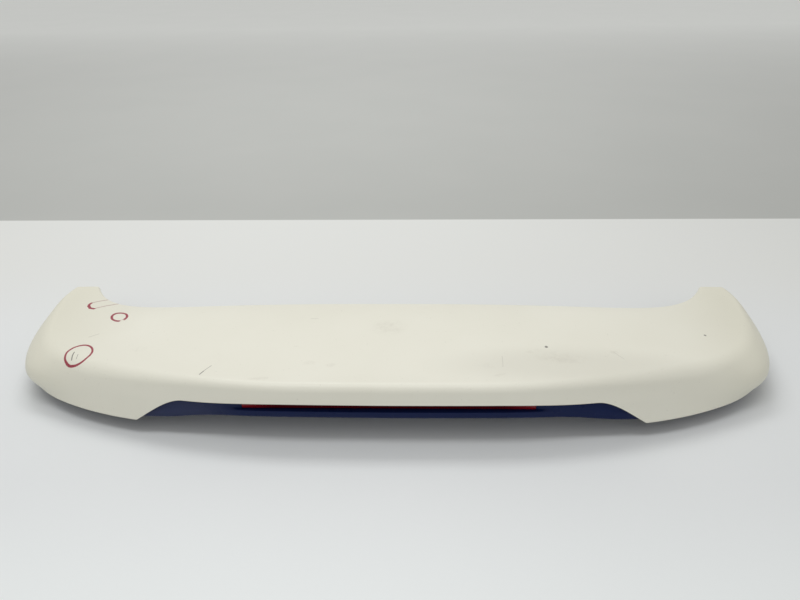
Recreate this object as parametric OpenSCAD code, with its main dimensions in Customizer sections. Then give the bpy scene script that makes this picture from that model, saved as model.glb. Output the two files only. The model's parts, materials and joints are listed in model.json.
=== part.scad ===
// Rear spoiler for a hatchback tailgate, lying as it does on a bench: a painted upper skin that
// wraps round both ends, a dark lower panel that shows as a band under the rear lip, a slim stop
// lamp in that band, and the studs and clips that hold the spoiler to the car and stand it here.
// X runs across the car, +Y towards the front edge, +Z up. The resting plane is Z = 0.
// The two skins are lofted through upright sections. A section is named by its station angle:
// 0 in the middle, 90 at the tip of the horn, and negative on the other side.

/* [Plan outline] */
// Overall width across the two wrapped ends
overall_w = 1206; // [1150:2:1300]
// Depth from the rearmost edge to the tips of the horns
overall_d = 333; // [320:1:365]
// How far the ends stand forward of the middle of the rear edge
tail_bow = 10; // [4:1:20]
// Share of the half width that the sides lose from the horn tips back to the rear
side_flare = 0.074; // [0.05:0.002:0.1]
// Squareness of the rear corners, as the power of a superellipse
corner_power = 5.4; // [4.4:0.2:6.6]

/* [Horns and notch] */
// Width of each horn at its tip
horn_tip_w = 64; // [56:1:70]
// Depth of the notch between the horns
notch_d = 100; // [88:1:112]
// Squareness of the notch, as a power
notch_power = 9.5; // [8:0.5:13]
// How far the inner edge of a horn tip falls short of its outer edge
horn_rake = 2; // [1:0.5:8]
// How far the outer corner of a horn tip is rounded off inwards
horn_round = 16; // [8:1:20]
// How far before the tip that rounding begins
horn_round_d = 62; // [50:1:74]

/* [Heights above the resting plane] */
// Front edge in the middle
front_h = 83.5; // [80:0.5:88]
// Top of the horn tips
horn_top_h = 60; // [58:0.5:64]
// Break between the top and the rear face in the middle
break_h = 86; // [82:0.5:90]
// Belt where the skin is widest
belt_h = 55; // [53:0.5:57]
// Belt at the horn tips
horn_belt_h = 50; // [46:0.5:52]
// Rear lip in the middle
lip_h = 61; // [58:0.5:63]
// Lip where the sweep down to each leg begins
crest_h = 56.5; // [53:0.5:59]
// Lower edge of the dark band under the lip
band_h = 34; // [32:0.5:37]
// Lower edge of the legs
leg_h = 21.5; // [19:0.5:24]
// Lower edge of the horn tips
horn_low_h = 24; // [21:0.5:27]

/* [Upper skin] */
// Wall of the painted skin
wall = 3; // [2.4:0.1:3.4]
// Rise of the crowned top over a flat one
crown = 7; // [4:0.5:10]
// Break to rear edge, in the middle
break_in = 11.5; // [9:0.5:14]
// Break to rear edge, round the corners
corner_in = 50; // [42:1:56]
// Break to edge, at the horn tips
horn_in = 7; // [6:0.5:9]
// Radius of the break in the middle
break_r = 15; // [11:0.5:18]
// Radius of the break round the corners
corner_r = 46; // [36:1:54]
// Radius of the break at the horn tips
horn_r = 22; // [18:1:26]
// How far the skin tucks in below the belt, in the middle
lip_tuck = 2; // [1:0.5:4]
// How far the skin tucks in below the belt, round the corners
corner_tuck = 17.5; // [12:0.5:20]
// How far the skin tucks in below the belt, at the horn tips
horn_tuck = 14; // [10:0.5:17]
// Depth of the turned-down front flange
flange_h = 9; // [8:0.5:12]
// Radius of the front flange
flange_r = 4.5; // [4:0.25:6]
// Half the distance between the tips of the legs
leg_x = 354; // [330:1:375]
// Half the length of the lip between the two sweeps
crest_x = 282; // [272:1:292]

/* [Lower panel] */
// Wall of the lower panel
panel_t = 2.8; // [2.2:0.1:3.2]
// Running clearance between mating mouldings
fit_gap = 0.4; // [0.3:0.05:0.6]
// How far the panel reaches up behind the rear lip
lap_h = 6; // [5:0.25:7]
// Height of the panel's upstand inside the legs
leg_lap_h = 14; // [10:0.5:16]
// Step up from the skin's lower edge to the panel inside the legs
leg_step = 2; // [1.5:0.25:3]
// Radius between the panel's floor and its rear band
panel_corner = 5; // [4:0.25:5.5]
// Power of the floor's curve from rear to front
floor_power = 1.6; // [1.4:0.05:1.9]
// Height of the ledge under the lamp
ledge_h = 47; // [45:0.25:48]
// How far the lamp recess lies inside the panel's upper edge, at the ends of the lens
recess_in = 0.4; // [0.2:0.1:1.2]

/* [Stop lamp] */
// Length of the lamp's lens
lens_len = 400; // [380:2:420]
// Height of the lens
lens_h = 12.4; // [11:0.1:13]
// Wall of the lens
lens_t = 2; // [1.6:0.1:2.4]
// How far the lens stands out of the recess wall
lens_proud = 0.7; // [0.4:0.1:1.2]
// Flange of the lens outside its window
lens_rim = 2.5; // [2:0.25:3]
// Thickness of the gasket behind the recess wall
gasket_t = 1.5; // [1:0.1:2]
// Depth of the lamp housing
housing_d = 24; // [22:0.5:27]
// Wall of the lamp housing
housing_t = 2; // [1.6:0.1:2.4]
// Thickness of the lamp's board
board_t = 1.6; // [1.2:0.1:2]
// Number of light sources on the board
led_count = 16; // [10:1:20]
// Size of one light source
led_size = 5; // [4:0.25:5.5]

/* [Fixings] */
// Height of the seats that meet the tailgate
seat_h = 22; // [20:0.5:24]
// Diameter of the fixing studs
stud_d = 6; // [5:0.5:7]
// Diameter of the studs' shoulders, inside their bosses
shoulder_d = 8; // [7.5:0.25:10]
// Diameter of the bosses round the studs
boss_d = 26; // [22:1:30]
// Thickness of the foam seals on the seats
seal_t = 4; // [3:0.5:6]
// Diameter of the clips' stems
clip_d = 5; // [4:0.25:6]
// Diameter over the clips' barbs
barb_d = 9; // [8:0.25:10]
// Diameter of the hole for the lamp's harness
harness_d = 22; // [16:1:26]
// Shank diameter of the screws that join the two mouldings
screw_d = 4; // [3.5:0.25:4.5]
// Shank diameter of the lamp's screws
lamp_screw_d = 3.5; // [3:0.25:4]

/* [Hidden] */
$fn = 20;

half_w = overall_w / 2;
front_half = half_w - horn_tip_w;
front_y = overall_d - notch_d;
horn_y = overall_d - horn_rake;
round_d = overall_d - tail_bow;

// Powers of the plan and height curves
bow_power = 1.6;
pace_power = 2.3;
front_fall = 2.6;
band_fall = 2.2;

// Pairs of station angles between which a size passes from its middle to its corner value,
// and from its corner to its horn value
inset_in = [12, 47];
inset_out = [50, 90];
height_span = [20, 86];
belt_out = [62, 90];
tuck_in = [28, 44];
tuck_out = [60, 88];
low_out = [60, 90];
radius_in = [20, 60];
full_in = [14, 28];
full_out = [38, 54];
soft_in = [30, 50];
soft_out = [70, 90];

// Share of the belt's fullness that the legs keep, over a straight face
leg_fullness = 0.1;

// Half height over which the belt is rounded: middle, corner and horn, and the share of the
// height above or below the belt that it may take
belt_soft = 4;
corner_soft = 20;
horn_soft = 8;
soft_share = 0.8;

// The crown's curve, scaled so that its highest point is 1, and the share of the top that the
// break's fillet may take
function crown_curve(t) = 27 / 4 * t * (1 - t) * (1 - t);
break_share = 0.6;

// How much the lip's sweep steepens at first and eases off at the leg's tip
sweep_cubic = 0.6;

// Where the lower edge of the band starts to fall towards the legs
fall_len = 86;
band_x = leg_x - fall_len;

// The lamp recess fades out past the ends of the lens
recess_fade = 35;
recess_x0 = lens_len / 2;
recess_x1 = recess_x0 + recess_fade;

// Panel section: the point that rounds its rear corner, as a share of the corner's radius, the
// least height between corner and ledge, the ledge's fall, and how far the front upstand stays
// below the skin's flange radius
corner_cut = 0.3;
least_step = 1.5;
ledge_slope = 0.4;
upstand_short = 2;

// Steps of the loft, in each zone of a half and along each section
recess_steps = 4;
middle_steps = 5;
cut_steps = 10;
corner_steps = 11;
horn_steps = 7;
top_steps = 5;
break_steps = 5;
side_steps = 6;
floor_steps = 5;
corner_end = 62;

// The end walls of the skin and the ends of the panel, as station angles
end_play = 1.5;
tip_rate = (overall_y(90) - overall_y(88)) / 2;
end_wall = 90 - wall / tip_rate;
panel_end = end_wall - end_play * fit_gap / tip_rate;

// Stud, clip and screw places, measured from the middle of the rearmost edge, as shares of the
// half width and of the depth
STUDS = [[0.25 * half_w, 0.592 * overall_d], [0.55 * half_w, 0.562 * overall_d],
    [0.865 * half_w, 0.688 * overall_d]];
CLIPS = [[0.655 * half_w, 0.198 * overall_d]];
SCREWS = [[0.18 * half_w, 0.42 * overall_d], [0.47 * half_w, 0.39 * overall_d],
    [0.765 * half_w, 0.5 * overall_d]];
LOCATORS = [[0.41 * half_w, 0.45 * overall_d]];
DRAINS = [[0.1 * half_w, 0.18 * overall_d], [0.5 * half_w, 0.18 * overall_d]];
harness_at = [0.07 * half_w, 0.45 * overall_d];
harness_rim = 4;

// Fixing details
hole_gap = 0.2;
stud_head_d = 18;
stud_head_h = 2.5;
seat_lift = 4.2;
pad_d = 14;
pad_drop = 2.5;
screw_head_d = 8;
screw_head_h = 2.4;
screw_grip = 12;
skin_boss_d = 9;
skin_boss_sink = 1.4;
locator_d = 9;
locator_tip = 6;
drain_d = 5;
gusset_t = 2;
clip_head_h = 2;
barb_count = 4;
barb_from = 2;
barb_pitch = (seat_h - seal_t - barb_from) / barb_count;
clip_flange_d = 13;
small_boss_d = 21;
seal_short = 2;
gusset_reach = 19.5;
seal_w = 2.6;
seal_h = 3.5;
end_pad = [64, 12, 3];
end_pad_at = [0.73 * half_w, 0.288 * overall_d];
end_pad_top = min([for (x = [-1, 0, 1], y = [-1, 1])
    floor_z(end_pad_at + [x * end_pad[0] / 2, y * end_pad[1] / 2])]);

// Lamp places
recess_y = let (w = station_of(lens_len / 2 + lens_rim))
    front_pt(w)[1] + heading(w)[1] * inside_s(w, panel_high(w)) + recess_in;
lens_y = recess_y - lens_proud;
rim_y = recess_y + panel_t + gasket_t + hole_gap;
housing_y = rim_y + lens_t;
ledge_gap = 1;
lens_z = ledge_h + ledge_gap + lens_h / 2;
lamp_len = lens_len + 2 * lens_rim;
lamp_h = lens_h + 2 * lens_rim;
board_back = 4;
board_y = housing_y + housing_d - housing_t - board_back;
ear_w = 14;
ear_t = 2;
ear_reach = 12;
ear_inset = 10;
EARS = [for (i = [-1, -1 / 3, 1 / 3, 1]) i * (lens_len / 2 - ear_inset)];
ear_z = lens_z - lamp_h / 2;
ear_y = housing_y + housing_d + ear_reach / 2;
ear_post_d = 8.4;
lamp_screw_len = 5;
lamp_screw_head = [7, 2];
led_margin = 20;
plug = [16, 13, 9];
plug_wall = 1.5;
plug_floor = 2;
plug_neck_d = 5.6;
plug_inset = 75;
plug_x = lens_len / 2 - plug_inset;
blade = [1, 2.4, 10];
blade_pitch = 6;

// Easing from 0 at a to 1 at b
function ease(span, x) =
    let (t = min(1, max(0, (x - span[0]) / (span[1] - span[0]))))
    t * t * (3 - 2 * t);
function mix(a, b, t) = a + (b - a) * t;
// A size that has a middle, a corner and a horn value
function zoned(mid, corner, horn, inwards, outwards, w) =
    mix(mid, corner, ease(inwards, abs(w))) + (horn - corner) * ease(outwards, abs(w));

// Plan of the outer edge: a superellipse with bowed tail, flared sides and rounded horn tips
function round_q(w) =
    pow(pow(sin(abs(w)), corner_power) + pow(cos(w), corner_power), 1 / corner_power);
function overall_y(w) =
    round_d * (1 - cos(w) / round_q(w)) + tail_bow * pow(sin(abs(w)), bow_power);
function overall_x(w) =
    let (t = max(0, 1 - (overall_d - overall_y(w)) / horn_round_d))
    half_w * (1 - side_flare * cos(w) / round_q(w)) * sin(w) / round_q(w)
        - sign(w) * horn_round * t * t;
function outer_pt(w) = [overall_x(w), overall_y(w)];

// Plan of the front edge: straight across the notch, then forward along the horn
function pace(w) =
    let (s = half_w / front_half * sin(abs(w)))
    s / pow(pow(s, pace_power) + pow(cos(w), pace_power), 1 / pace_power);
function front_pt(w) =
    [sign(w) * front_half * pace(w), front_y + (horn_y - front_y) * pow(pace(w), notch_power)];

function span(w) = norm(outer_pt(w) - front_pt(w));
function heading(w) = (outer_pt(w) - front_pt(w)) / span(w);
function place(w, p) = let (q = front_pt(w) + heading(w) * p[0]) [q[0], q[1], p[1]];

// Heights and insets of the section at a station
function front_z(w) = mix(front_h, horn_top_h, pow(pace(w), front_fall));
function break_z(w) = mix(break_h, horn_top_h, ease(height_span, abs(w)));
function belt_z(w) = mix(belt_h, horn_belt_h, ease(belt_out, abs(w)));
function inset_at(w) = zoned(break_in, corner_in, horn_in, inset_in, inset_out, w);
function tuck_at(w) = zoned(lip_tuck, corner_tuck, horn_tuck, tuck_in, tuck_out, w);
function radius_at(w) = zoned(break_r, corner_r, horn_r, radius_in, belt_out, w);
function fall(w) = min(1, max(0, (abs(overall_x(w)) - band_x) / (leg_x - band_x)));
function base_z(w) =
    mix(band_h, leg_h, pow(fall(w), band_fall)) + (horn_low_h - leg_h) * ease(low_out, abs(w));
function soft_at(w) =
    min(zoned(belt_soft, corner_soft, horn_soft, soft_in, soft_out, w),
        soft_share * (break_z(w) - belt_z(w)), soft_share * (belt_z(w) - base_z(w)));

// The rear lip: level, a little lower where the legs begin, then swept down to the leg's tip
function lip_z(x) =
    let (t = (x - crest_x) / (leg_x - crest_x))
    x <= crest_x ? mix(lip_h, crest_h, ease([crest_x / 2, crest_x], x))
        : crest_h - (crest_h - leg_h) * t * t * (1 + sweep_cubic * (1 - t));
function edge_z(w) =
    let (x = abs(overall_x(w)))
    x >= leg_x ? base_z(w) : max(lip_z(x), base_z(w));

// The side of a section leans out to the belt and tucks in below it, but along the legs it is
// nearly straight from the break to the lower edge, so the belt stays short of the full width
function fullness(w) =
    1 - (1 - leg_fullness) * (ease(full_in, abs(w)) - ease(full_out, abs(w)));
function belt_short(w) =
    mix(mix(tuck_at(w), inset_at(w), (belt_z(w) - base_z(w)) / (break_z(w) - base_z(w))), 0,
        fullness(w));

// Rounding the belt would pull it in, so bulge() finds how far both slopes are pushed out to
// keep the true width
function lean(w, out) = (inset_at(w) - belt_short(w) + out) / (break_z(w) - belt_z(w));
function tuck_slope(w, out) = (tuck_at(w) - belt_short(w) + out) / (belt_z(w) - base_z(w));
function bulge(w, n = 6, out = 0) =
    let (a = lean(w, out), b = tuck_slope(w, out))
    n == 0 ? out : bulge(w, n - 1, b <= 0 ? 0 : soft_at(w) * a * b / (a + b));
function side_s(w, z) =
    let (out = bulge(w), a = lean(w, out), b = tuck_slope(w, out), h = soft_at(w),
        d = z - belt_z(w), k = d + h)
    span(w) - belt_short(w) + out
        + (d >= h ? -a * d : d <= -h ? b * d : b * d - (a + b) / (4 * h) * k * k);

// Tangent points and centre of the fillet that rounds the break
function break_fit(w) =
    let (a = [0, front_z(w)], b = [span(w) - inset_at(w), break_z(w)],
        m = [span(w) - belt_short(w) + bulge(w), belt_z(w)],
        u = (a - b) / norm(a - b), v = (m - b) / norm(m - b), half = acos(u * v) / 2,
        reach = min(radius_at(w) / tan(half), break_share * norm(a - b),
            norm(m - b) + soft_at(w) / v[1]),
        mid = (u + v) / norm(u + v))
    [b + u * reach, b + v * reach, b + mid * reach / cos(half), reach * tan(half)];
// Height of the crowned top at distance s from the front edge
function top_z(w, s) =
    let (t1 = break_fit(w)[0], t = s / t1[0], full = min(1, pow(span(w) / front_y, 2)))
    mix(front_z(w), t1[1], t) + crown * full * crown_curve(t);

// Outer line of the skin's section: front flange, crowned top, break, side
function skin_line(w) =
    let (fit = break_fit(w), zf = front_z(w), r = max(flange_r, wall + 1),
        a1 = atan2(fit[0][1] - fit[2][1], fit[0][0] - fit[2][0]),
        a2 = atan2(fit[1][1] - fit[2][1], fit[1][0] - fit[2][0]), low = edge_z(w))
    concat(
        [[0, zf - flange_h]],
        [for (a = [0, 40, 90]) [r * (1 - cos(a)), mix(zf - r, top_z(w, r), sin(a))]],
        [for (i = [1:top_steps]) let (s = mix(r, fit[0][0], i / top_steps)) [s, top_z(w, s)]],
        [for (i = [1:break_steps]) let (a = mix(a1, a2, i / break_steps))
            fit[2] + fit[3] * [cos(a), sin(a)]],
        [for (i = [1:side_steps]) let (z = mix(fit[1][1], low, i / side_steps))
            [side_s(w, z), z]]);

// A line moved sideways by t: turn is 1 to the left of its direction and -1 to the right.
// Both ends stay at their own height, so that the rims are level
function step_normal(p, i, turn) =
    let (d = p[i + 1] - p[i]) turn * [-d[1], d[0]] / norm(d);
function end_run(p) = let (n = len(p) - 1, d = p[n] - p[n - 1]) norm(d) / abs(d[1]);
function offset_line(p, t, turn) =
    [for (i = [0:len(p) - 1])
        i == 0 ? p[0] + [t, 0]
        : i == len(p) - 1 ? p[i] - [t * end_run(p), 0]
        : let (a = step_normal(p, i - 1, turn), b = step_normal(p, i, turn))
            p[i] + (a + b) * t / (1 + a * b)];

// The lower panel runs inside the skin's wall with the fitting clearance
function panel_low(w) = base_z(w) + leg_step * ease([crest_x, leg_x], abs(overall_x(w)));
function panel_high(w) =
    edge_z(w) + mix(lap_h, leg_lap_h, ease([crest_x, leg_x], abs(overall_x(w))));
function inside_s(w, z) =
    let (m = side_s(w, z + 1) - side_s(w, z)) side_s(w, z) - wall * sqrt(1 + m * m) - fit_gap;
function recess(w) = 1 - ease([recess_x0, recess_x1], abs(overall_x(w)));
function recess_s(w) = (front_pt(w)[1] - recess_y) / -heading(w)[1];
function floor_ends(w) =
    [[wall + fit_gap, front_z(w) - flange_h - wall],
        [inside_s(w, panel_low(w) + panel_corner) - panel_corner, panel_low(w)]];
function floor_at(w, s) =
    let (f = floor_ends(w), t = max(0, (f[1][0] - s) / (f[1][0] - f[0][0])))
    mix(f[1][1], f[0][1], pow(t, floor_power));

// Outer line of the panel's section: front upstand, floor, rear corner, ledge, upstand
function panel_line(w) =
    let (f = floor_ends(w), low = panel_low(w), high = panel_high(w), cut = recess(w),
        share = (ledge_h - band_h) / (lip_h + lap_h - band_h), turn = low + panel_corner,
        shelf = max(mix(low, high, share), turn + least_step),
        back = mix(mix(shelf, high, 0.5), shelf + ledge_slope, cut),
        deep = min(recess_s(w), inside_s(w, back), inside_s(w, high)),
        bite = corner_cut * panel_corner)
    concat(
        [[f[0][0], front_z(w) - flange_r - upstand_short]],
        [for (i = [0:floor_steps]) let (s = mix(f[0][0], f[1][0], i / floor_steps))
            [s, floor_at(w, s)]],
        [[min(inside_s(w, turn) - bite, inside_s(w, low + bite)), low + bite],
            [inside_s(w, turn), turn],
            [inside_s(w, shelf), shelf],
            [mix(inside_s(w, back), deep, cut), back],
            [mix(inside_s(w, high), deep, cut), high]]);

// Station angle whose section has its outer edge at x, and the one that passes over (x, y)
function station_of(x, lo = 0, hi = 90, n = 22) =
    let (m = (lo + hi) / 2)
    n == 0 ? m : overall_x(m) < x ? station_of(x, m, hi, n - 1) : station_of(x, lo, m, n - 1);
function station_at(x, y, lo = 0, hi = 90, n = 22) =
    let (m = (lo + hi) / 2, f = front_pt(m))
    n == 0 ? m : cross(outer_pt(m) - f, [x, y] - f) > 0 ? station_at(x, y, m, hi, n - 1)
        : station_at(x, y, lo, m, n - 1);
function skin_z(p) =
    let (x = abs(p[0]), w = station_at(x, p[1])) top_z(w, norm([x, p[1]] - front_pt(w)));
function floor_z(p) =
    let (x = abs(p[0]), w = station_at(x, p[1])) floor_at(w, norm([x, p[1]] - front_pt(w)));

// Top and bottom of a pad on the panel's floor
function pad_top(p) = floor_z(p) + panel_t + seat_lift;
function pad_low(p) = floor_z(p) - pad_drop;

// Stations of one half from the middle outwards, and of the whole loft
leg_w = station_of(leg_x);
HALF = concat(
    [for (i = [1:middle_steps]) station_of(recess_x0 * i / middle_steps)],
    [for (i = [1:recess_steps]) station_of(mix(recess_x0, recess_x1, i / recess_steps))],
    [for (i = [1:cut_steps]) station_of(mix(recess_x1, leg_x, i / cut_steps))],
    [for (i = [1:corner_steps]) mix(leg_w, corner_end, i / corner_steps)],
    [for (i = [1:horn_steps - 1]) mix(corner_end, 90, i / horn_steps)]);
function stations(last) =
    concat([-last], [for (i = [len(HALF) - 1:-1:0]) -HALF[i]], [0], HALF, [last]);

// Two triangles for the cell of a grid whose corners are a, b, b + 1 and a + 1. The diagonal is
// mirrored on the other half, so that both sides of the car are alike
function cell(a, b, near) =
    near ? [[a, b, b + 1], [a, b + 1, a + 1]] : [[a, b, a + 1], [b, b + 1, a + 1]];
function flipped(faces) = [for (f = faces) [f[0], f[2], f[1]]];

// Solid between an outer and an inner grid of points, cupped: both ends are closed by a wall
module cupped_shell(outer, inner) {
    n = len(outer) - 1;
    m = len(outer[0]) - 1;
    row = m + 1;
    k = row * (n + 1);
    faces = concat(
        [for (i = [0:n - 1], j = [0:m - 1]) let (a = i * row + j, b = a + row, near = i < n / 2) each
            concat(cell(a, b, near), flipped(cell(k + a, k + b, near)))],
        [for (i = [0:n - 1]) let (a = i * row, b = a + row) each
            [[b, a, k + a], [b, k + a, k + b], [a + m, b + m, k + b + m], [a + m, k + b + m, k + a + m]]],
        [[for (j = [0:m]) j], [for (j = [m:-1:0]) k + j],
            [0, m, k + m], [0, k + m, k]],
        let (e = n * row)
        [[for (j = [m:-1:0]) e + j], [for (j = [0:m]) k + e + j],
            [e + m, e, k + e], [e + m, k + e, k + e + m]]);
    polyhedron(points = concat([for (r = outer) each r], [for (r = inner) each r]), faces = faces,
        convexity = 8);
}

// Solid through a row of closed loops, with flat ends. Each loop runs clockwise seen along +X
module loft(loops) {
    n = len(loops) - 1;
    m = len(loops[0]);
    sides = [for (i = [0:n - 1], j = [0:m - 1]) let (a = i * m + j, b = i * m + (j + 1) % m) each
        i < n / 2 ? [[a, a + m, b + m], [a, b + m, b]] : [[a, a + m, b], [a + m, b + m, b]]];
    ends = [[for (j = [0:m - 1]) j], [for (j = [m - 1:-1:0]) n * m + j]];
    polyhedron(points = [for (l = loops) each l], faces = concat(sides, ends), convexity = 8);
}

// Both sides of the car, for a list of places
module both_sides(places) {
    for (p = places, side = [-1, 1]) translate([side * p[0], p[1], 0]) children();
}

// The spoiler's own origin is under the middle of its outline
module seated() translate([0, -overall_d / 2, 0]) children();

// Round post, or the tool for a round hole, from z0 up to z1
module post(d, z0, z1) translate([0, 0, z0]) cylinder(d = d, h = z1 - z0);

// Upper skin with the bosses that take the joining screws
module upper_skin() color("ivory") seated() difference() {
    union() {
        cupped_shell(
            [for (w = stations(90)) [for (p = skin_line(w)) place(w, p)]],
            [for (w = stations(end_wall)) [for (p = offset_line(skin_line(w), wall, -1))
                place(w, p)]]);
        for (p = SCREWS, side = [-1, 1]) translate([side * p[0], p[1], 0])
            post(skin_boss_d, pad_top(p) + hole_gap, skin_z(p) - wall + skin_boss_sink);
    }
    for (p = SCREWS, side = [-1, 1]) translate([side * p[0], p[1], 0])
        post(screw_d + hole_gap, pad_top(p) - 1, pad_top(p) + screw_grip + 1);
}

// Lower panel: floor, rear band with the lamp recess, seats, bosses and holes
module lower_panel() color("midnightblue") seated() difference() {
    union() {
        loft([for (w = stations(panel_end)) let (line = panel_line(w), n = len(line) - 1)
            concat([for (p = offset_line(line, panel_t, 1)) place(w, p)],
                [for (i = [n:-1:0]) place(w, line[i])])]);
        for (p = STUDS, side = [-1, 1]) translate([side * p[0], p[1], 0]) {
            post(boss_d, seat_h, pad_top(p));
            for (a = [0, 90]) rotate([0, 0, a])
                translate([-gusset_reach, -gusset_t / 2, mix(seat_h, floor_z(p), 0.5)])
                    cube([2 * gusset_reach, gusset_t, 0.5 * (floor_z(p) - seat_h) + 1]);
        }
        for (p = CLIPS, side = [-1, 1]) translate([side * p[0], p[1], 0])
            post(small_boss_d, seat_h, pad_top(p));
        for (p = SCREWS, side = [-1, 1]) translate([side * p[0], p[1], 0])
            post(pad_d, pad_low(p), pad_top(p));
        for (p = LOCATORS, side = [-1, 1]) translate([side * p[0], p[1], 0]) {
            post(locator_d, locator_tip + locator_d / 2, floor_z(p) + 1);
            translate([0, 0, locator_tip])
                cylinder(d1 = locator_d / 2, d2 = locator_d, h = locator_d / 2);
        }
        for (x = EARS) translate([x, ear_y, 0])
            post(ear_post_d, floor_z([x, ear_y]) + 1, ear_z);
        translate(harness_at)
            post(harness_d + 2 * harness_rim, pad_low(harness_at), pad_top(harness_at));
    }
    translate([-lens_len / 2 - fit_gap, recess_y - panel_t, lens_z - lens_h / 2 - fit_gap])
        cube([lens_len + 2 * fit_gap, 3 * panel_t, lens_h + 2 * fit_gap]);
    both_sides(STUDS) post(shoulder_d + hole_gap, 0, break_h);
    both_sides(CLIPS) post(clip_d + hole_gap, 0, break_h);
    both_sides(SCREWS) post(screw_d + hole_gap, 0, break_h);
    both_sides(DRAINS) post(drain_d, 0, break_h);
    for (x = EARS) translate([x, ear_y, 0])
        post(lamp_screw_d + hole_gap, ear_z - lamp_screw_len - hole_gap, ear_z + 1);
    translate(harness_at) post(harness_d, 0, break_h);
}

// Plain strip, as deep as d along Y
module bar(len, h, d) translate([-len / 2, 0, -h / 2]) cube([len, d, h]);

// Red lens: a window that fills the slot, and a rim that seats behind the wall
module lamp_lens() color("firebrick") seated() translate([0, 0, lens_z]) difference() {
    union() {
        translate([0, lens_y, 0]) bar(lens_len, lens_h, rim_y - lens_y);
        translate([0, rim_y, 0]) bar(lamp_len, lamp_h, lens_t);
    }
    translate([0, lens_y + lens_t, 0])
        bar(lens_len - 2 * lens_t, lens_h - 2 * lens_t, rim_y + lens_t - lens_y);
}

// Foam gasket between the recess wall and the rim of the lens
module lamp_gasket() color("dimgray") seated() translate([0, rim_y - gasket_t, lens_z])
    difference() {
        bar(lamp_len, lamp_h, gasket_t);
        translate([0, -1, 0]) bar(lens_len + 2 * fit_gap, lens_h + 2 * fit_gap, gasket_t + 2);
    }

// Housing: an open box behind the lens, with ears for its screws
module lamp_housing() color("black") seated() difference() {
    union() {
        translate([0, housing_y, lens_z]) bar(lamp_len, lamp_h, housing_d);
        for (x = EARS) translate([x - ear_w / 2, housing_y + housing_d - 1, ear_z])
            cube([ear_w, ear_reach + 1, ear_t]);
    }
    translate([0, housing_y - 1, lens_z])
        bar(lamp_len - 2 * housing_t, lamp_h - 2 * housing_t, housing_d - housing_t + 1);
    for (x = EARS) translate([x, ear_y, 0])
        post(lamp_screw_d + hole_gap, ear_z - 1, ear_z + ear_t + 1);
    translate([plug_x, housing_y + housing_d, lens_z]) rotate([90, 0, 0])
        translate([0, 0, -1]) cylinder(d = plug_neck_d + 2 * hole_gap, h = housing_t + 2);
}

// Bright tray in front of the board, with a pocket at each light source
module lamp_reflector() color("silver") seated() difference() {
    translate([0, board_y - led_size, lens_z])
        bar(lamp_len - 2 * housing_t - 2 * fit_gap, lamp_h - 2 * housing_t - 2 * fit_gap,
            led_size - fit_gap);
    for (i = [0:led_count - 1]) translate([led_x(i), board_y, lens_z]) rotate([90, 0, 0])
        translate([0, 0, -1]) cylinder(d1 = led_size * 1.5, d2 = led_size * 2, h = led_size + 2);
}

function led_x(i) = (i - (led_count - 1) / 2) * (lens_len - led_margin) / led_count;

module lamp_board() color("darkgreen") seated() translate([0, board_y, lens_z])
    bar(lamp_len - 2 * housing_t - 2 * fit_gap, lamp_h - 2 * housing_t - 2 * fit_gap, board_t);

module lamp_leds() color("mistyrose") seated()
    for (i = [0:led_count - 1]) translate([led_x(i), board_y - led_size / 2, lens_z])
        bar(led_size, led_size, led_size / 2);

// Socket on the back of the housing, with its two blades
module lamp_connector() color("whitesmoke") seated()
    translate([plug_x, housing_y + housing_d, lens_z]) {
        difference() {
            bar(plug[0], plug[2], plug[1]);
            translate([0, plug_floor, 0])
                bar(plug[0] - 2 * plug_wall, plug[2] - 2 * plug_wall, plug[1]);
        }
        for (s = [-1, 1]) translate([s * blade_pitch / 2, plug_floor - 1, 0])
            bar(blade[0], blade[1], blade[2]);
        translate([0, 1, 0]) rotate([90, 0, 0]) cylinder(d = plug_neck_d, h = housing_t + 1);
    }

// A pan-headed screw with its point up (dir = 1) or down (dir = -1) and its seat at Z = 0
module screw(d, len, head_d, head_h, dir) rotate([dir > 0 ? 0 : 180, 0, 0]) {
    translate([0, 0, -head_h]) cylinder(d = head_d, h = head_h);
    cylinder(d = d, h = len - d / 2);
    translate([0, 0, len - d / 2]) cylinder(d1 = d, d2 = d / 3, h = d / 2);
}

module lamp_screws() color("gray") seated()
    for (x = EARS) translate([x, ear_y, ear_z + ear_t])
        screw(lamp_screw_d, ear_t + lamp_screw_len, lamp_screw_head[0], lamp_screw_head[1], -1);

module panel_screws() color("gray") seated()
    for (p = SCREWS, side = [-1, 1]) translate([side * p[0], p[1], pad_low(p)])
        screw(screw_d, pad_top(p) - pad_low(p) + screw_grip, screw_head_d, screw_head_h, 1);

// Studs: a round head inside the panel, a shoulder in the boss and a shank down to the bench
module stud_bolts() color("gold") seated()
    for (p = STUDS, side = [-1, 1]) translate([side * p[0], p[1], 0]) {
        post(stud_d, 0, seat_h);
        post(shoulder_d, seat_h - seal_t, pad_top(p) + 1);
        translate([0, 0, pad_top(p)]) cylinder(d = stud_head_d, h = stud_head_h);
    }

module ring_seal(outer_d, inner_d) translate([0, 0, seat_h - seal_t]) difference() {
    cylinder(d = outer_d, h = seal_t);
    translate([0, 0, -1]) cylinder(d = inner_d, h = seal_t + 2);
}

module stud_seals() color("darkslategray") seated()
    both_sides(STUDS) ring_seal(boss_d - seal_short, shoulder_d + hole_gap);

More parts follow.
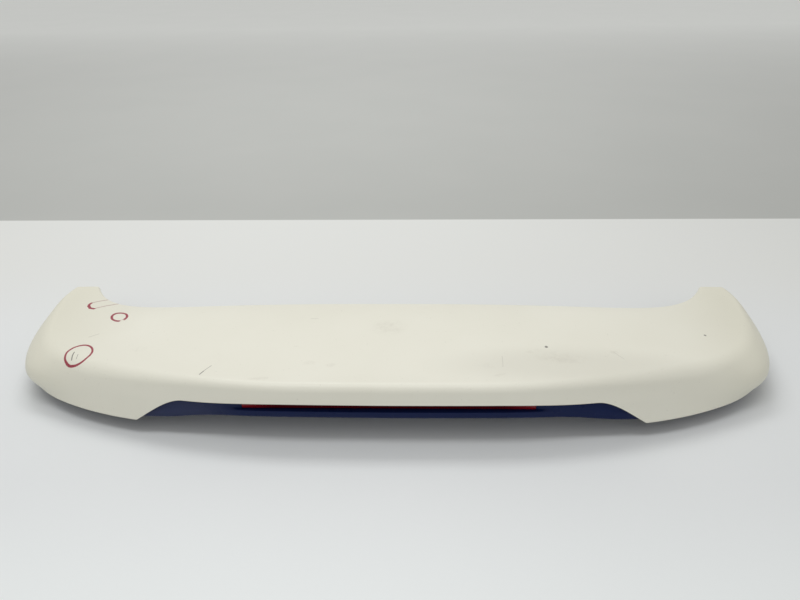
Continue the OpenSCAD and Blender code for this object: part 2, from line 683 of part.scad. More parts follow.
// Push clips: a stem with a row of barbs, held by a head inside the panel
module push_clips() color("white") seated()
    for (p = CLIPS, side = [-1, 1]) translate([side * p[0], p[1], 0]) rotate_extrude()
        polygon(concat(
            [[0, 0], [clip_d / 4, 0]],
            [for (i = [0:barb_count - 1]) let (z = barb_from + i * barb_pitch) each
                [[clip_d / 2, z], [barb_d / 2, z + barb_pitch * 0.55],
                    [barb_d / 2, z + barb_pitch * 0.7], [clip_d / 2, z + barb_pitch * 0.75]]],
            [[clip_d / 2, pad_top(p)], [clip_flange_d / 2, pad_top(p)],
                [clip_flange_d / 2, pad_top(p) + clip_head_h], [0, pad_top(p) + clip_head_h]]));

module clip_seals() color("darkslategray") seated()
    both_sides(CLIPS) ring_seal(small_boss_d - seal_short, clip_d + hole_gap);

// Rubber strip under the front flange, from horn tip to horn tip
module front_seal() color("dimgray") seated()
    loft([for (w = stations(panel_end))
        let (z = front_z(w) - flange_h - hole_gap / 2, s = (wall - seal_w) / 2)
        [for (p = [[s, z], [s + seal_w, z], [s + seal_w, z - seal_h], [s, z - seal_h]])
            place(w, p)]]);

// Foam pads that the panel carries under the outer ends
module end_pads() color("darkslategray") seated()
    both_sides([end_pad_at])
        translate([-end_pad[0] / 2, -end_pad[1] / 2, end_pad_top - end_pad[2]]) cube(end_pad);

upper_skin();
lower_panel();
lamp_lens();
lamp_gasket();
lamp_housing();
lamp_reflector();
lamp_board();
lamp_leds();
lamp_connector();
lamp_screws();
panel_screws();
stud_bolts();
stud_seals();
push_clips();
clip_seals();
front_seal();
end_pads();
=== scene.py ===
# %% [markdown]
# # A two-tone rear spoiler on a white bench
#
# The object is a moulded plastic spoiler for a hatchback's tailgate. It has a large cream-white
# skin with wrapped ends, a dark blue panel under its rear lip, and a slim red stop lamp. The
# packed model gives every piece its real size and place. This lesson adds what the eye needs:
# smooth surfaces for the large mouldings, paint, lens and metal, and a softly lit bench.

# %% Load the packed model
import json
import math

import bpy
import numpy as np
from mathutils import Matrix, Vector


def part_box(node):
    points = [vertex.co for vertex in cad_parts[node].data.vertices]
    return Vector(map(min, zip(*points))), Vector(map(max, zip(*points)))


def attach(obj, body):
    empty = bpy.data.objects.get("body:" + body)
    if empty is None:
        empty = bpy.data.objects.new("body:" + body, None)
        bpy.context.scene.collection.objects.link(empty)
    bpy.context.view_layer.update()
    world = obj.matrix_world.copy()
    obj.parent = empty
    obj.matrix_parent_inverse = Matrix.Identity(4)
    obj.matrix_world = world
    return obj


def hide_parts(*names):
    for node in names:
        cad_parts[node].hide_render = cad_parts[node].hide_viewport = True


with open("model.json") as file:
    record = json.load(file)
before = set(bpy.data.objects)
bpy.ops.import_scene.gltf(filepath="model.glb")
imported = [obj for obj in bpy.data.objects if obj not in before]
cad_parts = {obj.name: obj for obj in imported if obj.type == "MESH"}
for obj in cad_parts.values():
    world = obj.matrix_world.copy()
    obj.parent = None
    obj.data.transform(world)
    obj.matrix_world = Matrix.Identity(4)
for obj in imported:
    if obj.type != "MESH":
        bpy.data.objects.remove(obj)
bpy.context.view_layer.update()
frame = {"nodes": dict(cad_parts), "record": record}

print("nodes:", ", ".join(sorted(frame["nodes"])))

# %% [markdown]
# ## The measures of the skin
#
# A car body's surface is drawn as sections. Here every section stands upright, runs from the
# front edge to the rear edge, and fans round the corners. A section is named by its station
# angle w: 0 in the middle, 90 at the tip of the right horn and -90 at the left one. All measures
# are in millimetres, as on a drawing, and are turned into metres only when a mesh is made.
#
# The corners, the horns' lower edge and the lower edge of the rear band were set against the
# photograph once more, so here they differ from the packed solids by a few millimetres, and by up
# to about ten at the horns' lower edge.

# %% Driving measures
overall_w, overall_d = 1206, 333
tail_bow, bow_power, side_flare, corner_power = 10, 1.6, 0.047, 4.5
horn_tip_w, notch_d, notch_power, ramp_power, horn_rake = 64, 100, 9.5, 2.3, 2
horn_round, horn_round_d = 12, 70

front_h, horn_top_h, break_h = 83.5, 60, 86
lip_h, crest_h, band_h = 61, 56.5, 34
leg_h, horn_low_h = 21.5, 22

wall, crown, flange_h, flange_r = 3, 7, 9, 4.5
leg_x, crest_x = 354, 282

half_w = overall_w / 2
front_half = half_w - horn_tip_w
front_y = overall_d - notch_d
horn_y = overall_d - horn_rake
round_d = overall_d - tail_bow
print("half width", half_w, "front edge at", front_y, "horn tips at", horn_y)


# %% Small helpers for curves
def mix(a, b, t):
    """The value that lies the share t of the way from a to b."""
    return a + (b - a) * t


def ease(low, high, x):
    """0 below low, 1 above high, and the smooth cubic 3t^2 - 2t^3 of the share t between."""
    t = np.clip((x - low) / (high - low), 0, 1)
    return t * t * (3 - 2 * t)


def zoned(zones, w):
    """A measure that has one value in the middle, one at the corners and one at the horns. It
    passes from the first to the second between two station angles, and on between two more."""
    (middle, corner, horn), inwards, outwards = zones
    a = np.abs(w)
    return mix(middle, corner, ease(*inwards, a)) + (horn - corner) * ease(*outwards, a)


def turns(w):
    """Sine and cosine of a station angle, both without sign."""
    a = np.radians(np.abs(w))
    return np.sin(a), np.clip(np.cos(a), 0, 1)


print("ease from 0 to 4:", ease(0, 4, np.arange(5)).round(3).tolist())

# %% [markdown]
# ## The plan
#
# Seen from above, the rear and the sides are one superellipse, a circle whose corners were pushed
# outwards. Its tail is bowed and its sides lean in towards the rear. The front edge runs straight
# across the roof's notch and then forward along the horns. One formula for each keeps the curves
# free of kinks, which a painted surface would show at once.


# %% Plan curves
def outer_edge(w):
    """Rear and side edge. q is the superellipse's radius factor, the root of the sum of the powers
    of sine and cosine. y grows from the tail by one minus cosine over q, plus the bow; x is
    half the width times sine over q, less the flare and the parabola that rounds the tip."""
    s, c = turns(w)
    q = (s**corner_power + c**corner_power) ** (1 / corner_power)
    y = round_d * (1 - c / q) + tail_bow * s**bow_power
    t = np.clip(1 - (overall_d - y) / horn_round_d, 0, 1)
    x = half_w * (1 - side_flare * c / q) * s / q - horn_round * t * t
    return np.stack([np.sign(w) * x, y], -1)


def pace(w):
    """Share of the half width that the front edge has covered at a station: a rounded ramp."""
    s, c = turns(w)
    k = half_w / front_half * s
    return k / (k**ramp_power + c**ramp_power) ** (1 / ramp_power)


def front_edge(w):
    """Front edge: straight across the notch, then forward by a high power of the pace."""
    p = pace(w)
    y = front_y + (horn_y - front_y) * p**notch_power
    return np.stack([np.sign(w) * front_half * p, y], -1)


plan = outer_edge(np.linspace(-90, 90, 7))
print("plan of the outer edge, every 30 degrees:", plan.round(0).tolist())

# %% [markdown]
# ## The sections
#
# A section starts at the bottom of the front flange, turns over the crowned top, rounds the break
# and runs down the side to the lip. The heights at its corners change slowly from the middle to
# the horns. The side is two slopes that meet at the belt, where the skin is widest, and the
# meeting is rounded.

# %% Heights and slopes at each station
from types import SimpleNamespace

belt_zones = (55, 46, 45), (36, 58), (62, 90)
inset_zones = (11.5, 43, 11), (12, 47), (50, 90)
tuck_zones = (2, 11, 7), (28, 44), (60, 88)
radius_zones = (15, 46, 22), (20, 60), (62, 90)
soft_zones = (4, 20, 14), (30, 50), (70, 90)

front_power, break_fall, horn_zone = 2.6, (20, 86), (60, 90)
flat_from, flat_to, flat_share, soft_share = (14, 28), (38, 54), 0.9, 0.8
fall_len, fall_power, lip_sweep = 86, 2.2, 1.6
sag_len, sag_power, edge_lift, bulge_turns = 130, 1.4, 2.6, 6
tip_rate = float(np.diff(outer_edge(np.array([88.0, 90.0]))[:, 1])[0]) / 2
end_wall = 90 - wall / tip_rate


def lip_height(x):
    """Rear lip over x: level, a little lower where the legs begin, then swept down to the tip of
    the leg by a quadratic that eases off."""
    t = (x - crest_x) / (leg_x - crest_x)
    level = mix(lip_h, crest_h, ease(crest_x / 2, crest_x, x))
    swept = crest_h - (crest_h - leg_h) * t * t * (lip_sweep - (lip_sweep - 1) * t)
    return np.where(x <= crest_x, level, swept)


def sections(w):
    """All that a section needs at the station angles w, as one array for each measure. The bulge
    is the parabola's rise at the belt, which depends on the slopes that it changes, so the two are
    found by turns."""
    w = np.asarray(w, float)
    a = np.abs(w)
    k = SimpleNamespace(w=w)
    outer, k.front = outer_edge(w), front_edge(w)
    k.span = np.linalg.norm(outer - k.front, axis=-1)
    k.heading = (outer - k.front) / k.span[:, None]
    k.x = np.abs(outer[:, 0])
    k.front_z = mix(front_h, horn_top_h, pace(w) ** front_power)
    k.break_z = mix(break_h, horn_top_h, ease(*break_fall, a))
    k.belt_z = zoned(belt_zones, w)
    k.inset = zoned(inset_zones, w)
    k.tuck = zoned(tuck_zones, w)
    k.radius = zoned(radius_zones, w)
    fall = np.clip((k.x - leg_x + fall_len) / fall_len, 0, 1)
    early = np.clip((k.x - leg_x + sag_len) / sag_len, 0, 1)
    k.base_z = mix(band_h, leg_h, fall**fall_power) + (horn_low_h - leg_h) * ease(*horn_zone, a)
    k.sag = (band_h - leg_h) * np.maximum(early**sag_power - fall**fall_power, 0)
    k.sag -= edge_lift * (1 - fall)
    room = soft_share * np.minimum(k.break_z - k.belt_z, k.belt_z - k.base_z)
    k.soft = np.minimum(zoned(soft_zones, w), room)
    k.edge_z = np.where(k.x >= leg_x, k.base_z, np.maximum(lip_height(k.x), k.base_z))
    full = 1 - flat_share * (ease(*flat_from, a) - ease(*flat_to, a))
    share = (k.belt_z - k.base_z) / (k.break_z - k.base_z)
    k.short = mix(mix(k.tuck, k.inset, share), 0, full)

    def find_slopes():
        k.lean = (k.inset - k.short + k.bulge) / (k.break_z - k.belt_z)
        k.tuck_in = (k.tuck - k.short + k.bulge) / (k.belt_z - k.base_z)

    k.bulge = np.zeros_like(w)
    find_slopes()
    for _ in range(bulge_turns):
        both = np.where(k.tuck_in > 0, k.lean + k.tuck_in, 1)
        k.bulge = np.where(k.tuck_in > 0, k.soft * k.lean * k.tuck_in / both, 0)
        find_slopes()
    return k


middle = sections([0.0])
print("middle section: span", middle.span.round(1), "belt", middle.belt_z, "lip", middle.edge_z)


# %% Side, break and crown of a section
def side_s(k, z):
    """Distance of the side from the front edge at the heights z: a straight slope above the belt,
    another below it, and a parabola between the two."""
    lean, tuck, soft = k.lean[:, None], k.tuck_in[:, None], k.soft[:, None]
    d = z - k.belt_z[:, None]
    bend = tuck * d - (lean + tuck) / (4 * soft) * (d + soft) ** 2
    slope = np.where(d >= soft, -lean * d, np.where(d <= -soft, tuck * d, bend))
    return (k.span - k.short + k.bulge)[:, None] + slope


def break_fit(k):
    """Fillet of the break: tangent points on the top and on the side, its centre and its radius.
    The reach of the fillet is the radius over the tangent of half the corner's angle, but it
    stays within 0.6 of the top and ends above the rounding of the belt."""
    zero = np.zeros_like(k.span)
    a = np.stack([zero, k.front_z], -1)
    b = np.stack([k.span - k.inset, k.break_z], -1)
    m = np.stack([k.span - k.short + k.bulge, k.belt_z], -1)
    la, lm = np.linalg.norm(a - b, axis=-1), np.linalg.norm(m - b, axis=-1)
    u, v = (a - b) / la[:, None], (m - b) / lm[:, None]
    half = np.arccos(np.clip((u * v).sum(-1), -1, 1)) / 2
    reach = np.minimum(k.radius / np.tan(half), np.minimum(0.6 * la, lm + k.soft / v[:, 1]))
    way = (u + v) / np.linalg.norm(u + v, axis=-1)[:, None]
    centre = b + way * (reach / np.cos(half))[:, None]
    return b + u * reach[:, None], b + v * reach[:, None], centre, reach * np.tan(half)


def top_z(k, s):
    """Height of the crowned top at the distances s: a straight line to the break plus the crown,
    a cubic t(1-t)^2 scaled to a height of 1."""
    t1 = break_fit(k)[0]
    t = s / t1[:, :1]
    full = np.minimum(1, (k.span / front_y) ** 2)[:, None]
    rise = crown * full * 27 / 4 * t * (1 - t) ** 2
    return mix(k.front_z[:, None], t1[:, 1:], t) + rise


print("radius of the break in the middle:", break_fit(middle)[3].round(1))

# %% [markdown]
# ## From sections to a shell
#
# A moulded skin has a wall of even thickness. Blender's Solidify could give it one, but then the
# rim at the lip would follow the surface's slope, while the real lip is cut level. So the inner
# surface is worked out too: the same section moved inwards by the wall. The two are joined round
# the rim by a small rounding, and the horn tips are closed by a plain wall with a soft edge.

# %% The skin's section as an array of points
rim_r = 1.1
flange_steps, curl_steps, top_steps, break_steps, side_steps = 4, 8, 34, 14, 26


def skin_section(k, t):
    """Points (s, z) of each section moved inwards by t, one row for each station: flange, curl
    over the front edge, crowned top, fillet of the break, side."""
    t = np.broadcast_to(t, k.span.shape)[:, None]
    n = len(k.span)
    r = max(flange_r, wall + 1)
    t1, t2, centre, radius = break_fit(k)
    rise = np.linspace(0, 1, flange_steps)[None, :]
    low, high = (k.front_z - flange_h + rim_r)[:, None], (k.front_z - r)[:, None]
    flange_z = mix(low, high, rise) * np.ones((n, 1))
    flange_s = np.zeros_like(flange_z)
    a = np.radians(np.linspace(0, 90, curl_steps + 1)[1:])[None, :]
    curl_s = r * (1 - np.cos(a)) * np.ones((n, 1))
    curl_z = mix((k.front_z - r)[:, None], top_z(k, np.full((n, 1), r)), np.sin(a))
    share = np.linspace(0, 1, top_steps + 1)[None, 1:]
    top_s = mix(r, t1[:, :1], share)
    front = np.stack(
        [np.hstack([flange_s, curl_s, top_s]), np.hstack([flange_z, curl_z, top_z(k, top_s)])],
        -1)
    way = np.gradient(front, axis=1)
    way[:, 0] = [0, 1]
    way[:, -1] = (t1 - centre)[:, ::-1] * [1, -1]
    way /= np.linalg.norm(way, axis=-1, keepdims=True)
    front = front + t[:, :, None] * np.stack([way[..., 1], -way[..., 0]], -1)
    a1 = np.arctan2(*(t1 - centre)[:, ::-1].T)
    a2 = np.arctan2(*(t2 - centre)[:, ::-1].T)
    a = mix(a1[:, None], a2[:, None], np.linspace(0, 1, break_steps + 1)[None, 1:])
    ring = radius[:, None] - t
    bend = np.stack([centre[:, :1] + ring * np.cos(a), centre[:, 1:] + ring * np.sin(a)], -1)
    z = mix(bend[:, -1, 1:], (k.edge_z + rim_r)[:, None], np.linspace(0, 1, side_steps + 1)[1:])
    tilt = side_s(k, z + 0.5) - side_s(k, z - 0.5)
    side = np.stack([side_s(k, z) - t * np.sqrt(1 + tilt**2), z], -1)
    return np.concatenate([front, bend, side], 1)


def placed(k, line):
    """Section points (s, z) set into space: forward from the front edge along the heading."""
    flat = k.front[:, None, :] + k.heading[:, None, :] * line[..., :1]
    return np.concatenate([flat, line[..., 1:]], -1)


print("points in a section:", skin_section(middle, 0.0).shape[1])

# %% [markdown]
# ## Rows of stations
#
# The rows lie a few millimetres apart, so that highlights run smoothly. One row stands exactly at
# the tip of each leg, where the lip turns a corner. The packed solid has fewer rows.


# %% Station angles
def station_of(x):
    """Station angle whose section has its outer edge at x, read off the curve itself."""
    table = np.linspace(0, 90, 4001)
    return np.interp(x, outer_edge(table)[:, 0], table)


leg_w = float(station_of(leg_x))
half_row = np.concatenate([
    station_of(np.linspace(0, crest_x, 62)[1:]),
    station_of(np.linspace(crest_x, leg_x, 30)[1:]),
    np.linspace(leg_w, end_wall, 84)[1:]])
main_rows = np.concatenate([-half_row[::-1], [0], half_row])
print("rows:", len(main_rows), "leg tip at station", round(leg_w, 2))

# %% [markdown]
# ## One function for closed shells
#
# Outer and inner surface are two grids with the same number of rows and columns. The function
# joins them into a tube of loops: along the outer grid, round the rim, back along the inner grid
# and round the other rim. The two ends are closed between the last outer and inner rows. The
# faces are worked out as index arrays, so no loop runs over the points.


# %% Shell mesh from two grids
def rim_points(a, b, steps, drop):
    """Half an oval from a to b that hangs down by drop: cosine across, sine to the power 0.6
    downwards, so that it is flatter than a circle."""
    t = np.linspace(0, math.pi, steps + 2)[1:-1][None, :, None]
    across = mix(a[:, None], b[:, None], (1 - np.cos(t)) / 2)
    return across - np.array([0, 0, 1]) * drop * np.sin(t) ** 0.6


def tube_faces(rows, size):
    """Four indices for each face between neighbouring loops of that many points."""
    i, j = np.meshgrid(np.arange(rows - 1), np.arange(size), indexing="ij")
    a, b = i * size + j, i * size + (j + 1) % size
    return np.stack([a, b, b + size, a + size], -1).reshape(-1, 4)


def shell(outer, inner, steps, drop, outward=1):
    """Points and faces of a closed shell between two grids, with rims of that many points that
    hang down by drop. outward is 1 where rows times columns points inwards, otherwise -1."""
    rows, cols = outer.shape[:2]
    parts = [outer, inner[:, ::-1]]
    if steps:
        parts.insert(1, rim_points(outer[:, -1], inner[:, -1], steps, drop))
        parts.append(rim_points(inner[:, 0], outer[:, 0], steps, drop))
    loops = np.concatenate(parts, 1)
    size = loops.shape[1]
    sides = tube_faces(rows, size)
    j = np.arange(cols - 1)
    back = 2 * cols + steps - 1 - j
    first = np.stack([j + 1, j, back, back - 1], -1)
    last = np.stack([j, j + 1, back - 1, back], -1) + (rows - 1) * size
    faces = np.concatenate([sides, first, last]).tolist()
    if steps:
        far = list(range(cols - 1, cols + steps + 1))
        near = list(range(2 * cols + steps - 1, size)) + [0]
        end = (rows - 1) * size
        faces += [far[::-1], near[::-1], [end + f for f in far], [end + n for n in near]]
    if outward < 0:
        faces = [f[::-1] for f in faces]
    return loops.reshape(-1, 3), faces


smallest = shell(np.zeros((2, 2, 3)), np.ones((2, 2, 3)), 0, 0)
print("faces of the smallest shell:", len(smallest[1]))


# %% From points to a mesh object
def seat(points):
    """From the drawing's origin, at the rearmost edge, to the middle of the outline, in metres."""
    return (points - [0, overall_d / 2, 0]) * 0.001


def make_mesh(name, points, faces, sharp=30):
    """Mesh object from points in millimetres. Edges that bend more than sharp degrees stay crisp
    and the rest is shaded smooth."""
    mesh = bpy.data.meshes.new(name)
    mesh.from_pydata(seat(np.asarray(points)).tolist(), [], faces)
    mesh.shade_smooth()
    mesh.set_sharp_from_angle(angle=math.radians(sharp))
    mesh.validate()
    piece = bpy.data.objects.new(name, mesh)
    bpy.context.scene.collection.objects.link(piece)
    return piece


print("the drawing's origin lies at", seat(np.zeros(3)).tolist())

# %% The skin
tip_r = wall
tip_steps, face_steps = 6, 4


def towards_chord(grid, share):
    """Rows drawn together on the straight line between their first and last point. share is 0 for
    the row as it is and 1 for the line."""
    steps = np.linalg.norm(np.diff(grid, axis=1), axis=-1)
    run = np.concatenate([np.zeros((len(grid), 1)), np.cumsum(steps, 1)], 1)
    run = (run / run[:, -1:])[..., None]
    return mix(grid, mix(grid[:, :1], grid[:, -1:], run), share[:, None, None])


def skin_grids():
    """Outer and inner grid. At the tips the outer rows shrink inwards by r(1 - cosine) while they
    go forward by r sine, which rounds the edge, and then close the end along a chord."""
    bow = np.radians(np.linspace(0, 90, tip_steps + 1)[1:])
    tip_w = 90 - tip_r * (1 - np.sin(bow)) / tip_rate
    extra = tip_steps + face_steps
    w = np.concatenate([main_rows, tip_w, np.full(face_steps, 90.0)])
    shrink = np.concatenate([np.zeros(len(main_rows)), tip_r * (1 - np.cos(bow)),
                             np.full(face_steps, tip_r)])
    close = np.concatenate([np.zeros(len(main_rows) + tip_steps),
                            np.linspace(0, 1, face_steps + 1)[1:]])
    inner_w = np.concatenate([main_rows, np.full(extra, end_wall)])
    inner_close = np.concatenate([np.zeros(len(main_rows)), np.linspace(0, 1, extra + 1)[1:]])

    def both_ends(rows):
        return np.concatenate([rows[:len(main_rows) - 1:-1], rows])

    def both_angles(rows):
        return np.concatenate([-rows[:len(main_rows) - 1:-1], rows])

    k, inside = sections(both_angles(w)), sections(both_angles(inner_w))
    outer = towards_chord(placed(k, skin_section(k, both_ends(shrink))), both_ends(close))
    inner = towards_chord(placed(inside, skin_section(inside, wall)), both_ends(inner_close))
    return outer, inner


outer_grid, inner_grid = skin_grids()
rim_steps = 5
skin = make_mesh("painted_skin", *shell(outer_grid, inner_grid, rim_steps, rim_r), sharp=40)
cols = outer_grid.shape[1]
one_row = np.zeros(2 * (cols + rim_steps))
one_row[:cols] = 1
painted = np.tile(one_row, len(outer_grid))
skin.data.attributes.new("painted", "FLOAT", "POINT").data.foreach_set("value", painted)
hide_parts("upper_skin")
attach(skin, "root")
print("skin:", outer_grid.shape, "triangles", sum(len(p.vertices) - 2 for p in skin.data.polygons))

# %% [markdown]
# ## The lower panel
#
# The dark panel runs inside the skin's wall. Behind the lip it steps in over a ledge to the wall
# that carries the lamp. At the ends of the lamp the step fades into a smooth fairing. Its section
# is a few straight runs with rounded corners, so each corner is replaced by a short parabola.
#
# The recess lies where the packed lens stands, so its depth is read from the frame.

# %% The panel's section
panel_t, fit_gap, hole_gap, lap_h, leg_lap_h, leg_step = 2.8, 0.4, 0.2, 6, 14, 2
panel_corner, floor_power, sag_fade, ledge_h, lens_proud = 5, 1.6, 6, 47, 0.7
lens_len, lens_h, lens_rim, ledge_gap, fade_len = 400, 12.4, 2.5, 1, 35
recess_x0 = lens_len / 2
recess_x1 = recess_x0 + fade_len
panel_end = end_wall - 1.5 * fit_gap / tip_rate


def inside_s(k, z):
    """The skin's inner face at the heights z, less the fitting clearance."""
    tilt = side_s(k, z + 0.5) - side_s(k, z - 0.5)
    return side_s(k, z) - wall * np.sqrt(1 + tilt**2) - fit_gap


def panel_heights(k):
    """Lower edge, upper edge and the share by which the section is stepped in at the lamp."""
    leg = ease(crest_x, leg_x, k.x)
    low = k.base_z + leg_step * leg - k.sag
    high = k.edge_z + mix(lap_h, leg_lap_h, leg)
    return low, high, 1 - ease(recess_x0, recess_x1, k.x)


lens_front = 1000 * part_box("lamp_lens")[0][1] + overall_d / 2
recess_y = lens_front + lens_proud
print("lamp recess at y =", round(recess_y, 2))


def floor_at(k, s):
    """Height of the panel's floor at the distances s: a power curve from the rear corner up to
    the foot of the front upstand. The sag of the band's lower edge fades out by a high power."""
    low = panel_heights(k)[0]
    s0 = wall + fit_gap
    z0 = (k.front_z - flange_h - wall)[:, None]
    s1 = inside_s(k, (low + panel_corner)[:, None]) - panel_corner
    t = np.clip((s1 - s) / (s1 - s0), 0, None)
    flat = mix((low + k.sag)[:, None], z0, t**floor_power)
    return flat - k.sag[:, None] * np.clip(1 - t, 0, 1) ** sag_fade


def rounded(line, cuts, steps=4):
    """Each inner corner of a polyline replaced by a parabola that starts and ends at its cut
    distance, but never past the middle of a run. line is (rows, corners, 2)."""
    run = np.diff(line, axis=1)
    length = np.linalg.norm(run, axis=-1)
    run = run / np.maximum(length, 1e-6)[..., None]
    out = [line[:, :1]]
    for i in range(1, line.shape[1] - 1):
        a = np.minimum(cuts[i - 1], 0.45 * length[:, i - 1])[:, None]
        b = np.minimum(cuts[i - 1], 0.45 * length[:, i])[:, None]
        p, q, r = line[:, i] - a * run[:, i - 1], line[:, i], line[:, i] + b * run[:, i]
        t = np.linspace(0, 1, steps + 1)[None, :, None]
        out.append((1 - t) ** 2 * p[:, None] + 2 * t * (1 - t) * q[:, None] + t**2 * r[:, None])
    out.append(line[:, -1:])
    return np.concatenate(out, 1)


mitre_limit = 0.3


def moved(line, t):
    """Polyline moved to its left by t, with mitred corners and both ends kept level. Mitres and
    the end's stretch are limited where runs turn back sharply or lie almost level."""
    run = np.diff(line, axis=1)
    run /= np.maximum(np.linalg.norm(run, axis=-1, keepdims=True), 1e-6)
    left = np.stack([-run[..., 1], run[..., 0]], -1)
    a, b = left[:, :-1], left[:, 1:]
    lean = 1 + (a * b).sum(-1, keepdims=True)
    inner = line[:, 1:-1] + (a + b) * t / np.maximum(lean, mitre_limit)
    start = line[:, :1] + [t, 0]
    stretch = t / np.maximum(np.abs(run[:, -1, 1]), mitre_limit)
    end = line[:, -1:] - np.stack([stretch, np.zeros_like(stretch)], -1)[:, None]
    return np.concatenate([start, inner, end], 1)


print("a rounded corner has", rounded(np.array([[[0, 0], [9, 0], [9, 9.0]]]), (2,)).shape[1] - 2,
      "points")

# %% The panel's mesh
floor_cols = 30
shelf_rise, step_h, foot_drop = 1.5, 0.4, 2
outer_cuts = (panel_corner, 1.2, 0.8)
inner_cuts = (panel_corner - panel_t, 0.4, 2.2)


def panel_lines(k):
    """Outer and inner line of the panel's section, with the floor's curve between two rounded
    stretches: the foot of the front upstand, and rear corner, ledge and lamp wall."""
    low, high, cut = (v[:, None] for v in panel_heights(k))
    zero = np.zeros_like(low)
    turn = low + panel_corner
    share = (ledge_h - band_h) / (lip_h + lap_h - band_h)
    shelf = np.maximum(mix(low, high, share), turn + shelf_rise)
    back = mix(mix(shelf, high, 0.5), shelf + step_h, cut)
    straight = ((k.front[:, 1] - recess_y) / -k.heading[:, 1])[:, None]
    deep = np.minimum(np.minimum(straight, inside_s(k, back)), inside_s(k, high))
    foot_s = zero + wall + fit_gap
    rear_s = inside_s(k, turn) - panel_corner
    s = mix(foot_s, rear_s, np.linspace(0, 1, floor_cols)[None, :])
    floor = np.stack([s, floor_at(k, s)], -1)
    top = k.front_z[:, None] - flange_r - foot_drop
    front = np.stack([np.hstack([foot_s, foot_s]), np.hstack([top, floor[:, :1, 1]])], -1)
    corner_s = np.minimum(inside_s(k, turn), inside_s(k, low))
    rear = np.stack([
        np.hstack([corner_s, inside_s(k, shelf), mix(inside_s(k, back), deep, cut),
                   mix(inside_s(k, high), deep, cut)]),
        np.hstack([low, shelf, back, high])], -1)
    coarse = np.concatenate([front[:, :1], floor, rear], 1)
    inner = moved(coarse, panel_t)

    def finish(line, cuts):
        return np.concatenate([line[:, :floor_cols], rounded(line[:, floor_cols:], cuts)], 1)

    return finish(coarse, outer_cuts), finish(inner, inner_cuts)


lamp_rows = station_of(np.array([recess_x0 - 0.01, recess_x0, recess_x1]))
panel_half = np.unique(np.concatenate([half_row[half_row < panel_end - 0.1], lamp_rows,
                                       [panel_end]]))
panel_rows = np.concatenate([-panel_half[::-1], [0], panel_half])
k = sections(panel_rows)
panel_outer, panel_inner = (placed(k, line) for line in panel_lines(k))
panel = make_mesh("dark_panel", *shell(panel_outer, panel_inner, 0, 0, outward=-1), sharp=35)
print("panel:", panel_outer.shape)

# %% [markdown]
# ## Bosses, seats and holes
#
# Round posts carry the studs, clips and screws, and the floor is pierced for them. A post is a
# turned solid: a profile of radii and heights swept round an axis. Modelling the floor's grid round
# every hole would take far more points, so the posts are joined to the panel, and the holes cut
# out of it, by Boolean steps. The steps run once here, so the finished mesh holds no modifiers.

# %% Small closed solids
def turned(x, y, profile, sides=48):
    """Solid of revolution about the upright axis through (x, y): each point is the axis plus the
    radius times cosine and sine. profile lists (radius, height); the first and the last ring are
    closed by one face each."""
    r, z = np.array(profile, float).T[:, :, None]
    a = np.linspace(0, 2 * np.pi, sides, endpoint=False)
    points = np.stack([x + r * np.cos(a), y + r * np.sin(a), z + 0 * a], -1)
    loop = np.arange(sides)
    ends = [loop[::-1].tolist(), (loop + (len(r) - 1) * sides).tolist()]
    return points.reshape(-1, 3), tube_faces(len(r), sides).tolist() + ends


def drum(x, y, d, z0, z1, soft=0.5):
    """Round post whose two rims are quarter circles of radius soft."""
    t = np.radians(np.linspace(0, 90, 4))
    r, z = d / 2 - soft + soft * np.sin(t), soft - soft * np.cos(t)
    return turned(x, y, [*zip(r, z0 + z), *zip(r[::-1], z1 - z[::-1])])


def block(low, high):
    """Box between two corners."""
    x, y, z = zip(low, high)
    points = np.array([(x[i], y[j], z[k]) for k in (0, 1) for j in (0, 1) for i in (0, 1)])
    faces = [[0, 2, 3, 1], [4, 5, 7, 6], [0, 1, 5, 4], [2, 6, 7, 3], [0, 4, 6, 2], [1, 3, 7, 5]]
    return points, faces


def together(solids):
    """Several solids as one list of points and one list of faces."""
    starts = np.cumsum([0] + [len(points) for points, faces in solids])
    faces = [(np.array(face) + start).tolist()
             for (points, own), start in zip(solids, starts) for face in own]
    return np.concatenate([points for points, own in solids]), faces


def carve(piece, operation, solids, sharp=35):
    """Joins solids to a piece (UNION) or cuts them out of it (DIFFERENCE)."""
    tool = make_mesh("tool", *together(solids))
    step = piece.modifiers.new("step", "BOOLEAN")
    step.operation, step.solver, step.object = operation, "MANIFOLD", tool
    bpy.context.view_layer.update()
    graph = bpy.context.evaluated_depsgraph_get()
    piece.data = bpy.data.meshes.new_from_object(piece.evaluated_get(graph))
    piece.modifiers.clear()
    bpy.data.objects.remove(tool)
    piece.data.shade_smooth()
    piece.data.set_sharp_from_angle(angle=math.radians(sharp))


print("a drum has", len(drum(0, 0, 10, 0, 5)[0]), "points")


# %% Where the fixings stand
def shared(*pairs):
    """Places on both sides of the car, from shares of the half width and of the depth."""
    return [(side * a * half_w, b * overall_d) for a, b in pairs for side in (-1, 1)]


def under(x, y):
    """Section that passes over the point (x, y), and the point's distance along it. A section
    passes over the point where the cross product of its run and the way to the point is 0."""
    table = np.linspace(0, 89, 3561)
    front = front_edge(table)
    run, way = outer_edge(table) - front, np.array([abs(x), y]) - front
    w = np.interp(0, run[:, 1] * way[:, 0] - run[:, 0] * way[:, 1], table)
    k = sections(np.array([w]))
    return k, np.array([[np.linalg.norm(k.front[0] - [abs(x), y])]])


def floor_z(x, y):
    """Height of the panel's underside at a place."""
    return float(floor_at(*under(x, y))[0, 0])


